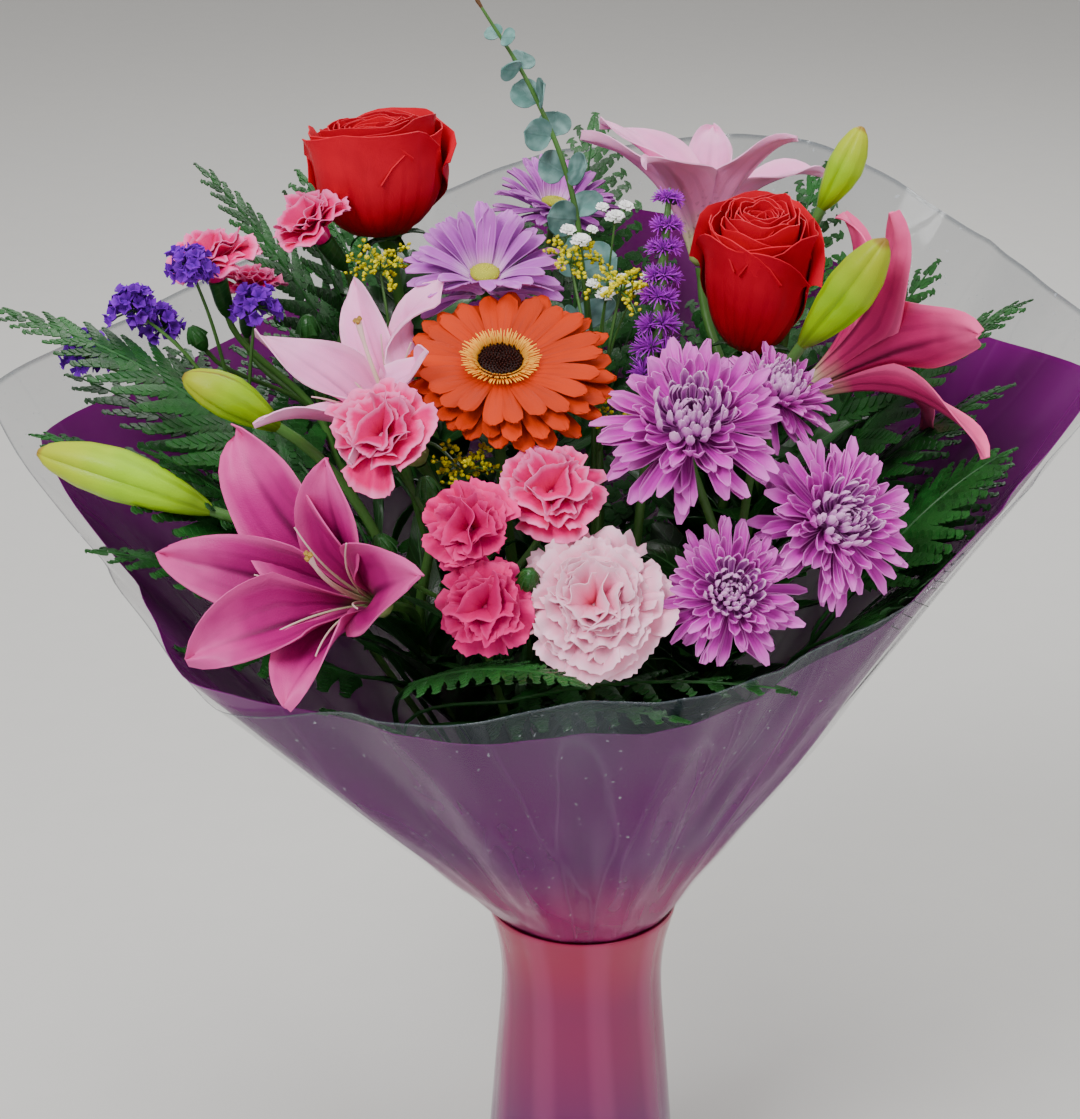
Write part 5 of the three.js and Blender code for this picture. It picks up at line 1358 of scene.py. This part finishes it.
def liatris(skin):
    foot, top = (np.array(p, float) for p in LIATRIS)
    axis = top - foot
    height = np.linalg.norm(axis)
    stalk(skin, stem_line("liatris", foot, axis), 2.4)
    place = stance(foot, axis)
    skin.lathe(
        [(1.4, -4), (2.5, 0), (2.8, height * 0.3), (2.3, height * 0.7), (1.2, height * 0.98),
            (0.5, height)], 10, place)
    levels, around, florets = 8, 5, 30
    for k in range(levels * around):
        level = k // around
        t = (level + 0.5 + skin.vary(-0.14, 0.14)) / levels
        a = math.radians(360 * (k % around) / around + 36 * level + skin.vary(-8, 8))
        reach = 10.5 - 4.6 * t
        out = unit(place[0] @ [math.cos(a), math.sin(a), 0.35 + 0.8 * t])
        base = place[0] @ [2.4 * math.cos(a), 2.4 * math.sin(a), height * (0.02 + 0.97 * t)] + place[1]
        heart = base + out * reach * 0.5
        skin.tube([base, base + out * reach * 0.3, heart], [1.1, 2.3, 1.7], 7, 1)
        tuft = stance(heart - out * 1.2, out)
        for m in range(florets):
            f = (m + 0.5) / florets
            bend = (6 + 60 * f, 20 + 84 * f, -10 + 130 * f + skin.vary(-25, 25))
            shape = petal(
                GOLDEN * m, 0.3 + 0.9 * f, -0.2, reach * skin.vary(0.55, 0.85), bend, 0.5,
                lambda v: 1 - 0.7 * v)
            v = np.linspace(0, 1, 4)
            skin.tube(
                shape(v, 0 * v) @ tuft[0].T + tuft[1], [0.45, 0.4, 0.33, 0.16], 3, 2, skin.draw.random())


def twigs(skin, name, radius):
    """The sprays' stem and a bowed branch to the middle of each cluster."""
    end, direction, thickness = SPRAYS[name]
    stalk(skin, stem_line(name, end, direction), thickness)
    for k, tip in enumerate(CLUSTERS[name]):
        start = np.array(end, float) - unit(direction) * (2 + 7 * k)
        top = np.array(tip, float)
        path = spline([start - unit(top - start) * 3, (start + top) / 2 + [0, 0, 8], top], 14)
        skin.tube(path, np.linspace(radius * 1.15, radius * 0.8, 14), 6, 0)


def statice(skin, thick):
    twigs(skin, "statice", 0.95)
    for tip in CLUSTERS["statice"]:
        centre = np.array(tip, float)
        lean = skin.vary(0, 6)
        for k in range(30):
            f = (k + 0.5) / 30
            a = math.radians(GOLDEN * k + skin.vary(-20, 20))
            tilt = math.radians(8 + 110 * f)
            out = unit([math.sin(tilt) * math.cos(a), math.sin(tilt) * math.sin(a), 0.9 * math.cos(tilt)])
            at = centre + out * (skin.vary(5, 11) + 3 * math.cos(a - lean) * math.sin(tilt))
            skin.tube([centre + out * 1.5, at], [0.5, 0.6], 5, 0)
            skin.tube([at - out * 2.4, at + out * 0.6], [0.8, 1.5], 6, 1)
            for m in range(5):
                shape = petal(
                    72 * m + 30 * k, 0.6, 0, 4.4 * skin.vary(0.8, 1.15), (16, 38, 70), 2.0,
                    fan_outline, fan=0.8, fan_waves=2.6, phase=m + k)
                skin.blade(shape, 2, 3, thick * 0.7, 2, stance(at, out), shade=skin.draw.random())


def solidago(skin, name):
    twigs(skin, name, 0.85)
    for tip in CLUSTERS[name]:
        centre = np.array(tip, float)
        for branch_number in range(12):
            a = math.radians(GOLDEN * branch_number)
            up = 1.1 - 1.7 * branch_number / 12
            out = unit([math.cos(a), math.sin(a), up])
            reach = skin.vary(13, 19)
            line = spline(
                [centre, centre + out * reach * 0.55 + [0, 0, 1.5], centre + out * reach + [0, 0, -1]], 9)
            skin.tube(line, np.linspace(0.5, 0.25, 9), 5, 0)
            for m in range(12):
                at = line[3 + m // 2] if m < 11 else line[-1]
                away = unit([skin.vary(-1, 1), skin.vary(-1, 1), skin.vary(-0.4, 1)])
                skin.tube([at, at + away * 2.0], [0.22, 0.22], 3, 0)
                skin.ball(at + away * 2.4, skin.vary(0.75, 1.2), 1, None, away, 1.25)


def gypsophila(skin):
    twigs(skin, "gypsophila", 0.6)
    for tip in CLUSTERS["gypsophila"]:
        centre = np.array(tip, float)
        for k in range(4):
            a = math.radians(GOLDEN * k)
            out = unit([math.cos(a), math.sin(a) - 0.2, 0.5])
            at = centre + (out * 8.5 if k else out * 0)
            if k:
                skin.tube([centre - [0, 0, 3], (centre + at) / 2, at], [0.4, 0.35, 0.35], 5, 0)
            scale = 1.0 if not k else skin.vary(0.55, 0.8)
            skin.ball(at, 1.7 * scale, 0)
            place = stance(at, [0.1 * k, -0.4, 1])
            for m in range(26):
                f = (m + 0.5) / 26
                shape = petal(
                    GOLDEN * m, 0.4, 0.5, 5.0 * scale * (0.6 + 0.4 * f), (10 + 50 * f, 30 + 74 * f),
                    1.75 * scale, fan_outline, fan=0.35, fan_waves=2.4, phase=m)
                skin.blade(shape, 2, 3, 0.3, 1, place)


# Glass and film


def vase_rings():
    """Closed profile of the vase's wall: its foot, outside, rolled lip, inside and floor."""
    outside = spline(VASE_OUTSIDE, 28)
    inside = spline(VASE_INSIDE, 22)
    foot = [(1, 1.6), (26, 1.4), (40, 1.0), (44.6, 0.1)]
    lip = [(50.9, 218.9), (51.1, 220.3), (50.6, 221.5), (49.6, 221.4), (48.4, 220.6), (47.3, 219.2)]
    floor = [(41.5, 14.6), (38, VASE_FLOOR), (1, VASE_FLOOR)]
    return [*foot, *outside, *lip, *inside, *floor]


def film_blade(skin, inset, column, thickness):
    """Neck, lip and flare of one film, with pleats that fade into fine wrinkles."""
    nested = inset * FILM_NESTING
    turns = FILM_FACETS
    degrees = np.linspace(0, 360, turns, endpoint=False)
    az = np.radians(degrees)
    rows = []
    # Radius, height and depth of the pleats, from the film's foot to the vase's lip
    neck = [
        (37.6 - nested, FILM_FOOT, 2.4), (38.4 - nested, 170, 2.4), (39.4 - nested, 205, 2.4),
        (41.4 - 0.6 * inset, 212, 1.4), (44.4 - 0.25 * inset, 218.4, 0.6), (47.4 - 0.25 * inset, 221, 0.6),
        (50.2 - 0.25 * inset, 222.3, 0.6)]
    for r, z, depth in spline(neck, 14):
        crumple = 0.25 * np.sin(23 * az + z * 0.11) * (1 if column == 0 else 0.6)
        rows.append(turned(r - depth * pleats(az) + crumple, az, z))
    start = rows[-1]
    for t in np.linspace(0, 1, 46)[1:]:
        radius, z = film_radius(degrees, inset, column, t)
        flare = turned(radius, az, z)
        blend = smooth(t / FLARE_BLEND)
        rows.append(flare * blend + start * (1 - blend) if t < FLARE_BLEND else flare)
    grid = np.array(rows)
    normal = np.cross(np.roll(grid, -1, 1) - np.roll(grid, 1, 1), np.gradient(grid, axis=0))
    normal /= np.linalg.norm(normal, axis=2, keepdims=True)
    half = thickness / MM / 2 * normal
    count = len(rows)
    k = np.arange(count * turns).reshape(count, turns)
    outer = tube_faces(count, turns)[0]
    inner = outer[:, ::-1] + count * turns
    edges = []
    for row, flip in ((k[0], True), (k[-1], False)):
        strip = np.stack([row, np.roll(row, -1), np.roll(row, -1) + count * turns, row + count * turns], -1)
        edges.append(strip[:, ::-1] if flip else strip)
    along = np.repeat(np.linspace(0, 1, count)[:, None], turns, 1)
    mark = np.stack([along, np.repeat(np.cos(PLEATS * az)[None], count, 0), np.full_like(along, 0.5)], -1)
    skin.put(
        np.concatenate([grid + half, grid - half]), np.concatenate([mark, mark]),
        np.vstack([outer, inner, *edges]))


def film_finish(name, colour, neck_colour, streak_colour, cover, streaks, dust, roughness, gloss):
    """Thin glossy plastic: mostly see-through, milkier along creases and at its cut edge."""
    material, g, shader = blank(name)
    group = g.add(
        "ShaderNodeGroup", {"Scale": 4.5, "Streaks": streaks, "Dust": dust}, node_tree=crinkle_effect())
    along, folds, _ = g.marks()
    masks = g.plus(group.outputs["Streak Mask"], group.outputs["Dust Mask"])
    height = g.add("ShaderNodeSeparateXYZ", {0: g.place()}).outputs[2]
    low = g.span(height, 0.3, 0.235)
    tinted = g.mix(low, colour, neck_colour)
    edge = g.span(along, 0.993, 0.999, 0.0, 0.3)
    # Painted shade: the film hides more in the folds of its pleats, and it also hides more towards the rim
    pleat_shade_and_rim_cover = g.plus(g.span(folds, -0.2, -1.0, 0.0, 0.05), g.span(along, 0.6, 1.0, 0.0, 0.09))
    neck = g.span(height, 0.222, 0.29, 0.85, 1.0)
    alpha = g.plus(g.plus(cover, g.times(masks, 0.3)), g.plus(edge, pleat_shade_and_rim_cover))
    g.give(shader, {
        "Base Color": g.mix(g.math("MINIMUM", masks, 1.0), tinted, streak_colour),
        "Alpha": g.times(g.math("MINIMUM", alpha, 1.0), neck),
        "Coat Weight": g.times_plus(low, 0.5, 0.3 * gloss), "Roughness": roughness, "IOR": 1.6,
        "Specular IOR Level": gloss, "Coat Roughness": 0.04,
    })
    bumped(g, shader, group.outputs["Height"], 0.5, 0.003)
    return material


def glass_finish(settings):
    """Tinted glass: coral under the lip, magenta at the waist, mauve towards the foot, with faint flutes."""
    material, g, shader = blank("tinted_glass")
    parts = g.add("ShaderNodeSeparateXYZ", {0: g.place()}).outputs
    height = g.times_plus(g.less(g.noise(9.0, 2.0), 0.5), 0.03, parts[2])
    colour = g.mix(g.span(height, 0.04, 0.16), settings.foot_colour, settings.waist_colour)
    colour = g.mix(g.span(height, 0.165, 0.212), colour, settings.lip_colour)
    angle = g.math("ARCTAN2", parts[1], parts[0])
    flute_and_painted_reflection = g.span(g.math("SINE", g.times_plus(angle, 9.0, g.times(parts[2], 8.0))), -0.2, 1.0)
    # Lighter pink along the flutes' crests is a painted reflection; the flutes' relief comes from the bump
    # below
    colour = g.mix(g.times(flute_and_painted_reflection, 0.16), colour, (0.8, 0.16, 0.4))
    g.give(shader, {
        "Base Color": colour, "Roughness": g.span(g.noise(40.0, 3.0), 0.3, 0.7, 0.1, 0.2), "IOR": 1.48,
        "Transmission Weight": settings.clearness, "Coat Weight": 0.25, "Coat Roughness": 0.03,
    })
    bumped(g, shader, g.times_plus(flute_and_painted_reflection, 0.5, g.noise(24.0, 2.0)), 0.25, 0.004)
    return material


# Operators


class PieceOperator:
    """What the operators share: each builds its own pieces."""

    bl_options = {"REGISTER", "UNDO"}

    def execute(self, context):
        self.build(context.scene)
        return {"FINISHED"}


def grow(seed, name, node, slot, materials, build, *row):
    """One piece of a node of its own, built by one function."""
    skin = Skin(seed)
    build(skin, *row)
    skin.make(name, [node], materials)


def green_finishes(scene):
    """Stem, bud and leaf, shared by all the stems."""
    if bpy.data.materials.get("leaf_green"):
        return [bpy.data.materials[n] for n in ("stem_green", "bud_green", "leaf_green")]
    f = scene.bouquet_foliage
    stem = leaf_finish(
        "stem_green", toned(f.stem, 0.55), toned(f.stem, 1.1), toned(f.stem, 1.4), roughness=0.45,
        veins=0.15, vein_count=6.0)
    bud = petal_finish(
        "bud_green", ["6a8a18", f.bud, "aab420", "8a5230"], roughness=0.38, bump=0.4, veins=0.22,
        vein_count=19.0, rim_start=0.955, rim_strength=0.75, shade_range=0.5, root_end=0.3)
    broad = leaf_finish(
        "leaf_green", toned(f.leaf, 0.4), toned(f.leaf, 1.25), toned(f.leaf, 2.4, 0.02), roughness=0.36,
        veins=0.5, vein_count=9.0)
    return [stem, bud, broad]


class BOUQUET_OT_stage(PieceOperator, bpy.types.Operator):
    """Camera, pale floor and soft studio lights"""

    bl_idname = "bouquet.stage"
    bl_label = "Stage"

    def build(self, scene):
        settings = scene.bouquet_stage
        camera = bpy.data.objects.new("camera", bpy.data.cameras.new("camera"))
        camera.data.sensor_width = 36
        camera.data.lens = settings.lens
        camera.data.clip_end = 60
        camera.location = (CAMERA_SIDE, -settings.camera_distance, settings.camera_height)
        camera.rotation_euler = (math.radians(CAMERA_TILT), 0, 0)
        scene.collection.objects.link(camera)
        scene.camera = camera
        mesh = bpy.data.meshes.new("floor")
        steps = np.linspace(-FLOOR_REACH, FLOOR_REACH, FLOOR_POINTS)
        x, y = np.meshgrid(steps, steps, indexing="ij")
        points = np.stack([x, y, -0.0005 + 0 * x], -1).reshape(-1, 3)
        quads = blade_faces(FLOOR_POINTS, FLOOR_POINTS)[:(FLOOR_POINTS - 1) ** 2]
        mesh.from_pydata(points.tolist(), [], quads.tolist())
        material, g, shader = blank("pale_floor")
        grain = g.times(g.noise(30.0, 1.0), 0.12)
        g.give(shader, {"Base Color": g.mix(grain, settings.floor, (0.5, 0.5, 0.49)), "Roughness": 0.75})
        mesh.materials.append(material)
        floor = bpy.data.objects.new("floor", mesh)
        scene.collection.objects.link(floor)
        lights = [
            ("key", (-1.3, -1.7, 2.6), 1.1, 66), ("fill", (1.9, -1.5, 1.4), 1.6, 17),
            ("back", (0.5, 2.0, 2.1), 1.4, 24), ("top", (0, -0.2, 3.0), 1.6, 34),
        ]
        for name, at, width, watts in lights:
            data = bpy.data.lights.new(name, "AREA")
            data.shape, data.size, data.size_y, data.energy = "RECTANGLE", width, width, watts
            lamp = bpy.data.objects.new(name, data)
            lamp.matrix_world = look_at(at, (0, 0, 0.42))
            scene.collection.objects.link(lamp)
        world = bpy.data.worlds.new("studio")
        world.use_nodes = True
        tree = world.node_tree
        Graph(tree).give(tree.nodes["Background"], {"Color": (1.0, 0.98, 0.97), "Strength": 0.46})
        scene.world = world


def look_at(at, target):
    away = unit(np.array(at) - np.array(target))
    x = unit(np.cross([0, 0, 1], away))
    y = np.cross(away, x)
    basis = np.column_stack([x, y, away, at])
    return Matrix([list(row) for row in basis] + [[0, 0, 0, 1]])


class BOUQUET_OT_vase(PieceOperator, bpy.types.Operator):
    """Waisted pink glass vase"""

    bl_idname = "bouquet.vase"
    bl_label = "Vase"

    def build(self, scene):
        v = scene.bouquet_vase
        upright = (np.eye(3), np.zeros(3))
        looks = [glass_finish(v)]
        grow(1, "vase_glass_body", "vase", "vase_glass", looks, Skin.lathe, vase_rings(), v.facets, upright)


class BOUQUET_OT_films(PieceOperator, bpy.types.Operator):
    """Pink film inside clear film, pleated in the neck and flared round the flowers"""

    bl_idname = "bouquet.films"
    bl_label = "Film wrappers"

    def build(self, scene):
        f = scene.bouquet_film
        rows = [
            ("clear_film_sleeve", "wrapper_clear_film", "clear_film", 0, 0,
             # colour, colour in the neck, streaks' colour, cover, streaks, dust, roughness, gloss
             (f.clear, f.clear, (0.6, 0.66, 0.72), f.clear_cover, 0.13, 0.7, 0.09, 0.4)),
            ("pink_film_sleeve", "wrapper_pink_film", "pink_film", FILM_SPACING, 1,
             (f.pink, f.neck, (0.24, 0.05, 0.23), f.pink_cover, 0.28, 0.0, 0.2, 0.12)),
        ]
        for name, node, slot, inset, column, looks in rows:
            grow(2, name, node, slot, [film_finish(slot, *looks)], film_blade, inset, column, f.thickness)


class BOUQUET_OT_stems(PieceOperator, bpy.types.Operator):
    """Stems with their calyxes, lily buds and leaves"""

    bl_idname = "bouquet.stems"
    bl_label = "Stems and leaves"

    def build(self, scene):
        greens = green_finishes(scene)
        for number, (name, (head, radius, kind)) in enumerate(SINGLES.items()):
            skin = Skin(10 + number)
            at, faces = HEADS[head][:2]
            path = stem_line(name, at, faces, CALYX[kind][0][0])
            stalk(skin, path, radius, faces, CALYX[kind], at)
            if kind == "rose":
                sepals(skin, at, faces, 7, 22, 3.4)
                foliage(skin, path, "rose", 30, 330, path[-1][2] - 22)
            if kind == "carnation":
                foliage(skin, path, "carnation", 8, 300, path[-1][2] - 20)
            skin.make(name + "_and_leaves", [name], greens)
        for number, (name, (fork, radius, kind, heads)) in enumerate(FORKS.items()):
            skin = Skin(20 + number)
            x, y = stem_places()[name]
            lean = unit(unit(np.array(fork) - [x, y, NECK_HEIGHT]) + [0, 0, 0.3])
            path = stem_line(name, fork, lean)
            stalk(skin, path, radius)
            start = np.array(fork, float) - lean * 4
            for head in heads:
                at, faces = HEADS[head][:2]
                back = CALYX[kind][0][0]
                line = curve_between(start, lean, np.array(at) - unit(faces) * back, faces, 14)
                stalk(
                    skin, line, radius * 0.8, faces, CALYX[kind], at,
                    calyx_paint=2 if kind == "carnation" else 0)
            for k, (base, tip, bud_radius) in enumerate(LILY_BUDS.get(name, [])):
                lily_bud(skin, start, lean, base, tip, bud_radius, (0.75, 0.3)[k])
            for at, bud_radius in CARNATION_BUDS.get(name, []):
                carnation_bud(skin, start, lean, np.array(at, float), bud_radius)
            leaves = {"lily": 26, "carnation": 16, "chrysanthemum": 30}[kind]
            foliage(skin, path, kind, leaves, 290, path[-1][2] + 4)
            skin.make(name + "_and_leaves", [name], greens)


class BOUQUET_OT_ferns(PieceOperator, bpy.types.Operator):
    """Leatherleaf fern fronds"""

    bl_idname = "bouquet.ferns"
    bl_label = "Ferns"

    def build(self, scene):
        f = scene.bouquet_foliage
        green = f.fern
        rib = leaf_finish(
            "fern_rib", toned(green, 0.7), toned(green, 1.5), toned(green, 2), roughness=0.5, veins=0.1)
        blade = leaf_finish(
            "fern_blade", toned(green, 0.45), toned(green, 1.35), toned(green, 1.9), roughness=0.4,
            veins=0.4, vein_count=3.0)
        for number, name in enumerate(FERNS):
            grow(40 + number, name + "_frond", name, "fern", [rib, blade], fern, name, f.leaf_thickness / MM)


class BOUQUET_OT_sprays(PieceOperator, bpy.types.Operator):
    """Eucalyptus, liatris, statice, solidago and gypsophila"""

    bl_idname = "bouquet.sprays"
    bl_label = "Sprays"

    def build(self, scene):
        f, b = scene.bouquet_foliage, scene.bouquet_blooms
        stem_green = green_finishes(scene)[0]
        blue = f.eucalyptus
        leaf_blue = leaf_finish(
            "eucalyptus_leaf", toned(blue, 0.5), blue, toned(blue, 0.7), roughness=0.6, veins=0.35,
            vein_count=5.0, bloom=0.55, bloom_colour=(0.3, 0.5, 0.48))
        tip_brown = leaf_finish("dry_tip", "5a3a1e", "8a6030", "9a7040", roughness=0.7)
        looks = [stem_green, leaf_blue, tip_brown]
        grow(
            60, "eucalyptus_branch", "eucalyptus_tall", "eucalyptus", looks, eucalyptus,
            f.leaf_thickness / MM)

        purple = b.liatris
        dark = leaf_finish("liatris_calyx", "1c1420", "3d2440", "5a3a5a", roughness=0.6, veins=0.1)
        tuft = petal_finish(
            "liatris_floret", [toned(purple, 0.6), purple, toned(purple, 1.6, 0.03), (0.9, 0.6, 1)],
            roughness=0.45, bump=0.1, shade_range=0.6)
        grow(61, "liatris_spike", "liatris", "liatris", [stem_green, dark, tuft], liatris)

        violet = b.statice
        cup = petal_finish(
            "statice_cup", [toned(violet, 0.6), toned(violet, 0.8), violet, (0.5, 0.4, 0.9)],
            roughness=0.6)
        papery = petal_finish(
            "statice_floret", [toned(violet, 0.7), violet, toned(violet, 1.3), (0.45, 0.35, 0.95)],
            roughness=0.6, bump=0.3, shade_range=0.7)
        looks = [stem_green, cup, papery]
        grow(62, "statice_spray", "statice", "statice", looks, statice, b.petal_thickness / MM)

        yellow = b.solidago
        bud = petal_finish(
            "solidago_bud", ["8f9a20", yellow, toned(yellow, 1.2), (1, 0.9, 0.3)], roughness=0.6,
            bump=0.3, shade_range=0.6, root_end=0.2)
        for number, name in enumerate(("solidago_centre", "solidago_left")):
            grow(63 + number, name + "_spray", name, "solidago", [stem_green, bud], solidago, name)

        white = petal_finish(
            "gypsophila_petal", ["dfe6cf", "f4f4ee", "ffffff", (1, 1, 1)], roughness=0.6, bump=0.2,
            shade_range=0.2)
        grow(65, "gypsophila_spray", "gypsophila", "gypsophila", [stem_green, white], gypsophila)


class BOUQUET_OT_roses(PieceOperator, bpy.types.Operator):
    """Two deep red roses"""

    bl_idname = "bouquet.roses"
    bl_label = "Roses"

    def build(self, scene):
        b = scene.bouquet_blooms
        red = b.rose
        velvet = petal_finish(
            "rose_petal", [toned(red, 0.5), toned(red, 0.85), toned(red, 1.12), red],
            roughness=0.55, bump=0.3, veins=0.12, vein_count=26.0, shade_range=0.4)
        for number, (name, row) in enumerate(ROSES.items()):
            grow(
                70 + number, name + "_petals", name + "_bloom", "rose_petal", [velvet], rose, *row,
                b.petal_thickness / MM * 1.3, ROSE_FRONT_RISE[name], ROSE_FULLNESS[name])


class BOUQUET_OT_lilies(PieceOperator, bpy.types.Operator):
    """Four lilies and the stamens of the two that face the front"""

    bl_idname = "bouquet.lilies"
    bl_label = "Lilies"

    def build(self, scene):
        b = scene.bouquet_blooms
        pinks = {"lily_petal_deep": b.lily, "lily_petal_rose": b.rose_lily}
        pink, rose_pink = [
            petal_finish(
                name, ["c8d8a0", colour, toned(colour, 1.15), toned(colour, 1.7, 0.1)], roughness=0.42,
                bump=0.5, rib=0.5, veins=0.34, vein_count=15.0, rim_start=0.62, rim_strength=0.8,
                root_end=0.24, shade_range=0.24)
            for name, colour in pinks.items()]
        light = petal_finish(
            "lily_petal_pale", ["d5dc98", b.pale_lily, toned(b.pale_lily, 0.95), "ffc4e6"], roughness=0.45,
            bump=0.45, soft=0.12, rib=0.2, veins=0.14, vein_count=15.0, rim_start=0.7, rim_strength=0.5,
            root_end=0.34, freckles=0.5, shade_range=0.16)
        throat = petal_finish("lily_throat", ["9fb35a", "bccb7a", "d6dfa8", "d6dfa8"])
        for number, (name, row) in enumerate(LILIES.items()):
            looks = [{"lily_front": pink, "lily_right": rose_pink}.get(name, light), throat]
            grow(
                80 + number, name + "_petals", name + "_bloom", "lily_petal", looks, lily, *row,
                b.petal_thickness / MM * 1.6, LILY_TEPALS[name], LILY_BREADTH[name], ROOMS.get(name, ()))
        filament = petal_finish("lily_filament", ["b9c98a", "dcd3b0", "e6c3c0", "e6c3c0"], roughness=0.4)
        stigma = petal_finish("lily_stigma", ["c9a24a", "b9953f", "a07a3a", "c9b060"], roughness=0.35)
        for number, name in enumerate(("lily_front", "lily_mid")):
            grow(
                90 + number, name + "_stamen_cluster", name + "_stamens", "lily_stamen", [filament, stigma],
                lily_stamens, *LILIES[name])


class BOUQUET_OT_gerbera(PieceOperator, bpy.types.Operator):
    """Orange gerbera with a dark disc"""

    bl_idname = "bouquet.gerbera"
    bl_label = "Gerbera"

    def build(self, scene):
        b = scene.bouquet_blooms
        orange = b.gerbera
        ray = petal_finish(
            "gerbera_ray", ["e84800", orange, toned(orange, 1.1), orange], roughness=0.6,
            bump=0.4, veins=0.16, vein_count=8.0, shade_range=0.22, root_end=0.3)
        thick = b.petal_thickness / MM * 1.2
        grow(95, "gerbera_ray_florets", "gerbera_rays", "gerbera_ray", [ray], gerbera_rays, thick)
        dark = petal_finish(
            "gerbera_disc_floret", ["1a0806", "240b08", "3c140c", "5a2416"], bump=0.2, shade_range=0.8)
        brush = petal_finish(
            "gerbera_inner_floret", ["c8641c", "f0a02c", "ffc447", "ffd060"], bump=0.2, shade_range=0.4)
        grow(96, "gerbera_disc_florets", "gerbera_disc", "gerbera_disc", [dark, brush], gerbera_disc)


class BOUQUET_OT_carnations(PieceOperator, bpy.types.Operator):
    """One large pale carnation and seven spray carnations"""

    bl_idname = "bouquet.carnations"
    bl_label = "Carnations"

    def build(self, scene):
        b = scene.bouquet_blooms
        hot = b.carnation
        blush = petal_finish(
            "pale_carnation_petal", ["e84c70", b.pale_carnation, "ffb4d0", "ffdcec"], roughness=0.6,
            bump=0.4, soft=0.15, veins=0.06, vein_count=24.0, rim_start=0.86, rim_strength=0.5,
            root_end=0.55, shade_range=0.2)
        rows = [("pale_carnation", PALE_CARNATION, blush, "pale_carnation_petal")]
        kinds = {"edged_carnation_petal": (1.0, "ff9cd4", 0.6), "full_carnation_petal": (0.8, "ff50a0", 0.4)}
        warm, full = [
            petal_finish(
                name, [toned(hot, 0.6), toned(hot, depth), toned(hot, 1.05 * depth), rim], roughness=0.55,
                bump=0.4, veins=0.08, vein_count=20.0, rim_start=0.82, rim_strength=strength, root_end=0.4,
                shade_range=0.4)
            for name, (depth, rim, strength) in kinds.items()]
        for name, row in SPRAY_CARNATIONS.items():
            rows.append((name, row, full if name in FULL_COLOURED else warm, "carnation_petal"))
        for number, (name, (at, faces, radius), material, slot) in enumerate(rows):
            grow(
                100 + number, name + "_petals", name + "_bloom", slot, [material], carnation, at, faces,
                radius * CARNATION_FULLNESS[slot], b.petal_thickness / MM * 0.8, *CARNATION_PETALS[slot])


class BOUQUET_OT_chrysanthemums(PieceOperator, bpy.types.Operator):
    """Four lavender chrysanthemums"""

    bl_idname = "bouquet.chrysanthemums"
    bl_label = "Chrysanthemums"

    def build(self, scene):
        b = scene.bouquet_blooms
        c = b.chrysanthemum
        outer = petal_finish(
            "chrysanthemum_petal", [toned(c, 0.75), c, toned(c, 1.08, 0.03), "e48cdc"], bump=0.4,
            veins=0.3, vein_count=9.0, rim_start=0.7, rim_strength=0.6, shade_range=0.3)
        inner = petal_finish(
            "chrysanthemum_heart_petal", ["a01c98", "c454c0", "e49ce0", "f2c8ee"], bump=0.4, veins=0.24,
            vein_count=9.0, rim_start=0.6, rim_strength=0.6, shade_range=0.2, root_end=0.5)
        for number, (name, row) in enumerate(CHRYSANTHEMUMS.items()):
            grow(
                120 + number, name + "_petals", name + "_bloom", "chrysanthemum_petal", [outer, inner],
                chrysanthemum, *row, b.petal_thickness / MM)


class BOUQUET_OT_daisies(PieceOperator, bpy.types.Operator):
    """Two lavender daisies with yellow-green discs"""

    bl_idname = "bouquet.daisies"
    bl_label = "Daisies"

    def build(self, scene):
        b = scene.bouquet_blooms
        c = b.daisy
        ray = petal_finish(
            "daisy_ray", ["f0c0f4", toned(c, 1.1), c, "e49cea"], bump=0.4, veins=0.16,
            vein_count=9.0, rim_start=0.75, rim_strength=0.4, root_end=0.5, shade_range=0.26)
        disc = petal_finish(
            "daisy_disc_floret", ["8a9420", "a9b02c", "c6c640", "d8d460"], roughness=0.55, bump=0.2,
            shade_range=0.5)
        for number, (name, row) in enumerate(DAISIES.items()):
            grow(
                130 + number, name + "_ray_florets", name + "_rays", "daisy_ray", [ray], daisy_rays, *row,
                b.petal_thickness / MM * 1.1, ROOMS.get(name, ()))
            grow(
                135 + number, name + "_disc_florets", name + "_disc", "daisy_disc", [disc], daisy_disc,
                *row[:2])


SETTINGS = {
    "bouquet_vase": BouquetVaseSettings,
    "bouquet_film": BouquetFilmSettings,
    "bouquet_blooms": BouquetBloomSettings,
    "bouquet_foliage": BouquetFoliageSettings,
    "bouquet_stage": BouquetStageSettings,
}
OPERATORS = [
    BOUQUET_OT_stage, BOUQUET_OT_vase, BOUQUET_OT_films, BOUQUET_OT_stems, BOUQUET_OT_ferns,
    BOUQUET_OT_sprays, BOUQUET_OT_roses, BOUQUET_OT_lilies, BOUQUET_OT_gerbera, BOUQUET_OT_carnations,
    BOUQUET_OT_chrysanthemums, BOUQUET_OT_daisies,
]


class BOUQUET_PT_panel(bpy.types.Panel):
    """Lists the bouquet's operators and settings"""

    bl_idname = "BOUQUET_PT_panel"
    bl_label = "Mixed Bouquet"
    bl_space_type = "VIEW_3D"
    bl_region_type = "UI"
    bl_category = "Bouquet"

    def draw(self, context):
        for operator in OPERATORS:
            self.layout.operator(operator.bl_idname)
        for name in SETTINGS:
            box = self.layout.box()
            group = getattr(context.scene, name)
            for key in group.__annotations__:
                box.prop(group, key)


def register():
    for name, group in SETTINGS.items():
        bpy.utils.register_class(group)
        setattr(bpy.types.Scene, name, bpy.props.PointerProperty(type=group))
    for cls in [*OPERATORS, BOUQUET_PT_panel]:
        bpy.utils.register_class(cls)


def unregister():
    for cls in [BOUQUET_PT_panel, *reversed(OPERATORS)]:
        bpy.utils.unregister_class(cls)
    for name, group in SETTINGS.items():
        delattr(bpy.types.Scene, name)
        bpy.utils.unregister_class(group)


def main():
    register()
    for operator in OPERATORS:
        getattr(bpy.ops.bouquet, operator.bl_idname.split(".")[1])()
    bpy.context.view_layer.update()


if __name__ == "__main__":
    main()
